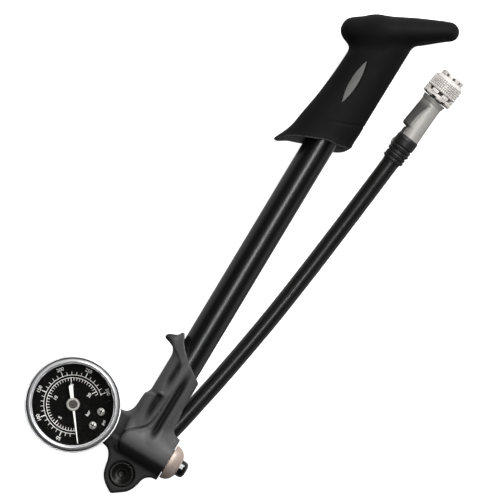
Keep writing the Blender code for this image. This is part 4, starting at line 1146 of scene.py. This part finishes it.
def lever_shape(x, y, z):
    """Distance field of the thumb lever: forked root, flat arm and round ribbed tip."""
    along, across = chuck_coordinates(x, y)
    pin_away = np.hypot(along - PIN_ALONG, z - PIN_HEIGHT)
    tip_away = np.hypot(along - TIP_ALONG, across)
    root = capped(pin_away - 2.45, across, -1.9, 1.9, 0.3)
    web = np.maximum(np.abs(along + 15.8) - 2.2, np.abs(z - 1.8) - 1.4)
    web = capped(web + 0.3, across, -1.9, 1.9, 0.3) - 0.2
    arm = capped(np.maximum(np.abs(across) - 3.0, np.abs(along + 20.0) - 3.6), z, 0.4, 2.2, 0.5)
    tip = capped(tip_away - 3.7, z, 0.4, 2.2, 0.5)
    solid = merge(merge(merge(root, web, 0.8), arm, 0.5), tip, 0.4)
    ribs = 0.22 * np.cos((along - TIP_ALONG) * 2.0 * math.pi / TIP_RIB_PITCH)
    reach = step_up(3.0 - tip_away, 0.0, 0.8)
    solid = solid + np.where(z < 1.3, ribs * reach, 0.0)
    return carve(solid, pin_away - 1.05, 0.2)


def make_chuck(look):
    solid = skin(chuck_shape, (25.5, 199.5, 1.6), (42.5, 234.0, 15.0), 0.26)
    body = piece("chuck_casting", solid, look["casting"], "hose_arm", 50.0)
    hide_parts("chuck_body")
    seam_x = [(y, x) for x, y in SEAM]

    def left_of_seam(x, y, z):
        """Paint shade on the side left of the seam, more lightly near the flange and not beyond it."""
        beside = step_up(through(seam_x, y) - x, -0.5, 0.9)
        return beside * (1.0 - 0.6 * step_up(y, 218.0, 223.0)) * (1.0 - step_up(y, 223.0, 224.0))

    mark_recess(body, left_of_seam)
    solid = skin(lever_shape, (25.0, 191.5, -0.2), (37.5, 214.5, 9.0), 0.24)
    lever = piece("thumb_lever", solid, look["casting"], "lever", 50.0)
    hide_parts("chuck_lever")

    place = axis_frame(CHUCK_ORIGIN, CHUCK_FORWARD)
    profile = [(6.5, 2.2), (7.1, 2.3), (7.5, 2.7), (7.6, 3.1), (7.6, 3.2), (7.6, 3.8), (7.6, 4.4),
               (7.6, 4.6), (7.6, 4.7), (7.6, 5.7), (7.5, 5.95), (6.8, 6.05), (3.75, 6.05), (3.75, 2.2)]

    low_rim, high_rim = 3.15, 4.65

    def castellated(angle, r, h):
        """Cut notches into both rims, and fine flutes between them."""
        if r < 6.0:
            return r, h
        for at_rim, phase in ((h > high_rim, 0.035), (h < low_rim, 0.56)):
            if at_rim and within(angle, NOTCHES, NOTCH_SHARE, phase):
                return NOTCH_FLOOR, h
        if low_rim < h < high_rim and within(angle, FLUTES, 0.45):
            return r - 0.4, h
        return r, h

    ring = lathe(profile, place, RING_SEGMENTS, castellated)
    lock = piece("castle_ring", ring, look["nickel"], "lock_ring", 32.0)
    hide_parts("lock_ring")
    # Painted shade on the floors of the notches and flutes
    mark_recess(lock, lambda x, y, z: step_up(7.0 - chuck_radius(x, y, z), 0.0, 0.3))

    profile = [(6.6, 6.2), (7.4, 6.22), (7.6, 6.45), (7.7, 6.8), (7.7, 7.1)]
    profile += [(7.7, 7.1 + 0.5 * k) for k in range(1, 10)]
    profile += [(7.5, 11.95), (7.1, 12.5), (6.5, 13.2), (6.1, 13.45), (5.9, 13.7), (5.9, 14.1), (5.9, 14.6),
                (5.9, 15.3), (5.7, 15.7), (5.3, 15.9), (4.3, 15.9), (3.9, 15.6), (3.9, 9.65), (4.75, 9.65),
                (4.75, 7.7), (3.75, 7.7), (3.75, 6.2)]

    def knurled(angle, r, h):
        """Cut a crossed knurl, and a row of windows above it."""
        if 6.9 < h < 11.8 and r > 7.2:
            crossing = (h - 7.1) % 1.0 > 0.4
            return r - (0.5 if within(angle, KNURLS, 0.45) else 0.28 if crossing else 0.0), h
        if 14.0 < h < 14.7 and r > 5.7 and within(angle, WINDOWS, 0.36, 0.454):
            return 5.1, h
        return r, h

    ring = lathe(profile, place, RING_SEGMENTS, knurled)
    thread = piece("knurled_ring", ring, look["nickel"], "thread_ring", 32.0)
    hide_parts("thread_ring")

    def shaded(x, y, z):
        """Paint shade into the windows, and more lightly onto the floors of the knurl's grooves."""
        away = chuck_radius(x, y, z)
        windows = step_up(5.6 - away, 0.0, 0.3) * step_up(y, 235.0, 235.3)
        grooves = step_up(7.45 - away, 0.0, 0.2) * step_up(away, 7.0, 7.1) * step_up(233.5 - y, 0.0, 0.5)
        return windows + 0.45 * grooves

    mark_recess(thread, shaded)

    seal = turned("mouth_seal", [
        (3.5, 9.9), (3.5, 10.6), (1.3, 10.6), (1.3, 9.9)
    ], 0.2, place, 64, look["seal"], "hose_arm")
    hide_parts("chuck_seal")
    pin = turned("valve_pin", [
        (0.0, 7.4), (0.75, 7.4), (0.75, 10.7), (0.5, 10.88), (0.0, 10.9)
    ], 0.1, place, 32, look["brass"], "hose_arm")
    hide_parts("depressor_pin")
    return [body, lever, lock, thread, seal, pin]


# ---------------- handle

# Left and right edge of the handle's sleeve, and half its depth, along Y
SLEEVE_LEFT = [(160.0, -22.4), (168.0, -19.9), (172.5, -18.7), (176.0, -17.1), (180.0, -15.8),
               (185.0, -15.0), (191.0, -14.0), (197.0, -13.0), (204.0, -12.2), (212.0, -11.5),
               (219.0, -11.15), (228.0, -10.9), (240.0, -9.8), (250.0, -9.0)]
SLEEVE_RIGHT = [(160.0, 13.2), (178.0, 13.2), (186.0, 13.35), (191.0, 13.6), (200.0, 13.55),
                (210.0, 13.6), (220.0, 13.7), (236.0, 13.8), (250.0, 13.8)]
SLEEVE_DEPTH = [(160.0, 14.0), (174.0, 13.6), (190.0, 13.0), (205.0, 12.6), (220.0, 12.8), (234.0, 13.4),
                (250.0, 13.4)]
# Half width, half depth and middle of the hollow inside the sleeve, along Y
CAVITY_WIDTH = [(150.0, 15.4), (172.0, 14.4), (182.0, 12.6), (192.0, 10.2), (202.0, 8.4), (240.0, 8.2)]
CAVITY_DEPTH = [(150.0, 12.2), (178.0, 11.7), (190.0, 10.0), (202.0, 8.4), (240.0, 8.2)]
CAVITY_MIDDLE = [(150.0, -3.4), (176.0, -2.0), (190.0, -0.6), (202.0, 0.0), (240.0, 0.0)]
# Slope of the sleeve's open end across X, and how much steeper that makes distances along Y
RIM_SLOPE, RIM_STRETCH = 0.41, 1.08
# Palm bar: its slope, and its half width, sideways shift and half depth along its length
BAR_SLOPE = math.radians(29.5)
BAR_MIDDLE = (0.0, 239.6)
BAR_HALF = [(-21.8, 4.4), (-19.0, 5.5), (-16.0, 6.25), (-10.0, 6.75), (0.0, 6.95), (10.0, 6.75),
            (15.0, 6.45), (20.0, 5.8), (26.0, 5.0), (30.0, 4.5), (33.3, 4.3)]
BAR_OFFSET = [(-21.8, 0.0), (-10.0, 0.05), (0.0, 0.0), (15.0, 0.0), (20.0, 0.2), (26.0, 0.45), (33.3, 0.35)]
BAR_DEPTH = [(-21.8, 7.0), (-17.0, 10.0), (-9.0, 13.0), (0.0, 14.8), (11.0, 14.3), (20.0, 12.0),
             (27.0, 9.4), (33.3, 7.2)]


def inlay_distance(x, y):
    """Return the distance in the plane to the pointed lens of the inlay."""
    half_x = (INLAY_HIGH.x - INLAY_LOW.x) / 2.0
    half_y = (INLAY_HIGH.y - INLAY_LOW.y) / 2.0
    centre_x = (INLAY_HIGH.x + INLAY_LOW.x) / 2.0
    centre_y = (INLAY_HIGH.y + INLAY_LOW.y) / 2.0
    radius = (half_y ** 2 + half_x ** 2) / (2.0 * half_x)
    shift = radius - half_x
    return np.maximum(np.hypot(x - centre_x - shift, y - centre_y),
                      np.hypot(x - centre_x + shift, y - centre_y)) - radius


def grip_outside(x, y, z):
    """Distance field of the handle's outer form: a flared sleeve and a palm bar."""
    left = through(SLEEVE_LEFT, y)
    right = through(SLEEVE_RIGHT, y)
    sleeve = superround(x - (left + right) / 2.0, z - BARREL_Z, (right - left) / 2.0,
                        through(SLEEVE_DEPTH, y), 2.4)
    sleeve = capped(sleeve, y, 140.0, 243.0, 4.0)
    dx, dy = x - BAR_MIDDLE[0], y - BAR_MIDDLE[1]
    along = dx * math.cos(BAR_SLOPE) + dy * math.sin(BAR_SLOPE)
    across = dy * math.cos(BAR_SLOPE) - dx * math.sin(BAR_SLOPE) - through(BAR_OFFSET, along)
    bar = superround(across, z - BARREL_Z, through(BAR_HALF, along), through(BAR_DEPTH, along), 2.2)
    bar = capped(bar, along, -21.8, 33.3, 4.2)
    return merge(sleeve, bar, 5.0 - 2.6 * step_up(x, 0.0, 8.0))


def grip_rim(x, z):
    """Return where the slanting open end of the sleeve lies along Y."""
    rim = 179.2 + RIM_SLOPE * x + 0.13 * (z - BARREL_Z)
    rim = rim - 1.7 * step_up(x, 1.0, 9.0) * step_up(z, 8.0, 22.0)
    return rim - 1.6 * step_up(-x, 13.0, 19.0) - 2.2 * step_up(x, 2.0, 7.0) * step_up(15.0 - z, 1.0, 10.0)


def grip_cavity(x, y, z):
    """Return roughly the distance to the hollow inside the sleeve."""
    return superround(x - through(CAVITY_MIDDLE, y), z - BARREL_Z, through(CAVITY_WIDTH, y),
                      through(CAVITY_DEPTH, y), 2.2)


def grip_shape(x, y, z):
    """Distance field of the handle: a fine line and a lip, the hollow, and a pocket for the inlay."""
    solid = grip_outside(x, y, z)
    line = (y - 190.3 - RIM_SLOPE * x) / RIM_STRETCH
    solid = solid + groove(line, 0.45, 0.22) * step_up(x, -4.0, 4.0)
    rim = grip_rim(x, z)
    solid = solid - groove(y - rim - 0.8, 1.2, 0.25)
    solid = carve(solid, (y - rim) / RIM_STRETCH, 0.7)
    solid = carve(solid, capped(grip_cavity(x, y, z), y, 120.0, 236.0, 1.0), 0.6)
    pocket = np.maximum(inlay_distance(x, y) - 0.12, 26.0 - z)
    return carve(solid, pocket, 0.15)


def inlay_shape(x, y, z):
    """Distance field of the inlay, which follows the handle's outer form."""
    outside = grip_outside(x, y, z)
    solid = overlap(outside - 0.04, inlay_distance(x, y) + 0.06, 0.3)
    return np.maximum(solid, 26.1 - z)


def make_handle(look):
    solid = skin(grip_shape, (-21.5, 166.0, -0.8), (30.5, 260.0, 30.8), 0.5)
    obj = piece("grip_moulding", solid, look["grip"], "handle", 60.0)
    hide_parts("handle_shell")

    def inner(x, y, z):
        """Paint light onto the wall of the sleeve's hollow and the rim round its open end, standing in for
        light bounced off the floor.
        """
        wall = step_up(1.2 - np.abs(grip_cavity(x, y, z)), 0.0, 0.6) * step_up(200.0 - y, 0.0, 10.0)
        rim = step_up(0.5 - np.abs(y - grip_rim(x, z)), 0.0, 0.4)
        return np.maximum(wall, rim)

    mark_recess(obj, inner)
    solid = skin(inlay_shape, (-4.2, 198.6, 25.6), (1.8, 223.8, 28.6), 0.16)
    obj = piece("grip_inlay", solid, look["inlay"], "handle", 60.0)
    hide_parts("handle_inlay")


def make_rod(look):
    place = axis_frame((0.0, 0.0, BARREL_Z), (0.0, 1.0, 0.0))
    obj = turned("polished_rod", [
        (0.0, 43.0), (2.2, 43.0), (2.2, 50.4), (3.0, 50.4), (3.0, 241.6), (2.5, 242.1), (0.0, 242.1)
    ], 0.2, place, 64, look["steel"], "plunger")
    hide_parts("piston_rod")


def dress_inner_parts(look):
    """Give each carried-over CAD node the material of its slot."""
    by_slot = {"seal_rubber": "seal", "brass": "brass", "steel": "steel", "black_steel": "black_steel",
               "nylon": "nylon", "nickel": "nickel"}
    slots = {row["node"]: row["material_slot"] for row in frame["record"]["subparts"]}
    for name, node in frame["nodes"].items():
        material = look.get(by_slot.get(slots[name]))
        if material:
            for slot in node.material_slots:
                slot.material = material


# ---------------- main

def studio_world():
    """Pale surroundings at eye level that darken towards the zenith and behind the foot."""
    world = bpy.data.worlds.new("studio")
    world.use_nodes = True
    tree = world.node_tree
    background = tree.nodes["Background"]
    direction = tree.nodes.new("ShaderNodeSeparateXYZ")
    tree.links.new(tree.nodes.new("ShaderNodeTexCoord").outputs["Generated"], direction.inputs[0])
    product = tree.nodes.new("ShaderNodeMath")
    product.operation = "MULTIPLY"
    falls = (("Z", 0.45, -0.05, 0.025, 0.62), ("Y", -0.8, 0.4, 0.22, 1.0))
    for target, (axis, *levels) in zip(product.inputs, falls):
        node = tree.nodes.new("ShaderNodeMapRange")
        node.interpolation_type = "SMOOTHSTEP"
        tree.links.new(direction.outputs[axis], node.inputs["Value"])
        for socket, level in zip(RANGE_SOCKETS, levels):
            node.inputs[socket].default_value = level
        tree.links.new(node.outputs["Result"], target)
    tree.links.new(product.outputs["Value"], background.inputs["Strength"])
    background.inputs["Color"].default_value = (1.0, 1.0, 1.0, 1.0)
    bpy.context.scene.world = world


FLOOR_GAP = 0.0002
PUMP_MIDDLE = Vector((0.0, 0.12, 0.0))


def make_stage():
    """Add the pale floor, the surroundings and two lights. Places here are in metres."""
    floor = bmesh.new()
    bmesh.ops.create_grid(floor, x_segments=2, y_segments=2, size=6.0)
    mesh = bpy.data.meshes.new("floor")
    floor.to_mesh(mesh)
    floor.free()
    obj = show("floor", mesh)
    obj.location = (0.0, 0.0, -FLOOR_GAP)
    paper = surface("pale_paper", (0.92, 0.92, 0.92), 0.8, vary=0.01, patches=3.0)
    lit = paper.node_tree.nodes["Principled BSDF"]
    lit.inputs["Emission Color"].default_value = (1.0, 1.0, 1.0, 1.0)
    lit.inputs["Emission Strength"].default_value = 0.95
    mesh.materials.append(paper)
    obj.visible_diffuse = False
    obj.visible_glossy = False

    studio_world()
    bpy.context.scene.view_settings.view_transform = "Standard"

    def panel(name, place, size, power):
        """Add a rectangular light that faces the middle of the pump."""
        data = bpy.data.lights.new(name, "AREA")
        data.shape = "RECTANGLE"
        data.size, data.size_y = size
        data.energy = power
        lamp = show(name, data)
        lamp.location = place
        lamp.rotation_euler = (PUMP_MIDDLE - Vector(place)).to_track_quat("-Z", "Y").to_euler()
        return lamp

    # The strip faces straight down instead, along the barrel
    strip = panel("strip", (0.19, 1.15, 2.0), (0.34, 2.4), 32.0)
    strip.rotation_euler = (0.0, 0.0, 0.0)
    panel("wide", (0.05, 1.75, 1.25), (1.5, 0.9), 38.0)


make_camera()
look = make_materials()
hose, hose_length = make_hose(look)
boot = make_boot(look)
chuck_pieces = make_chuck(look)
make_foot(look)
make_barrel(look)
make_gauge_case(look)
make_dial(look)
make_needle(look)
make_bleeder(look)
make_pivot(look)
make_swivel(look)
make_handle(look)
make_rod(look)
dress_inner_parts(look)
make_stage()
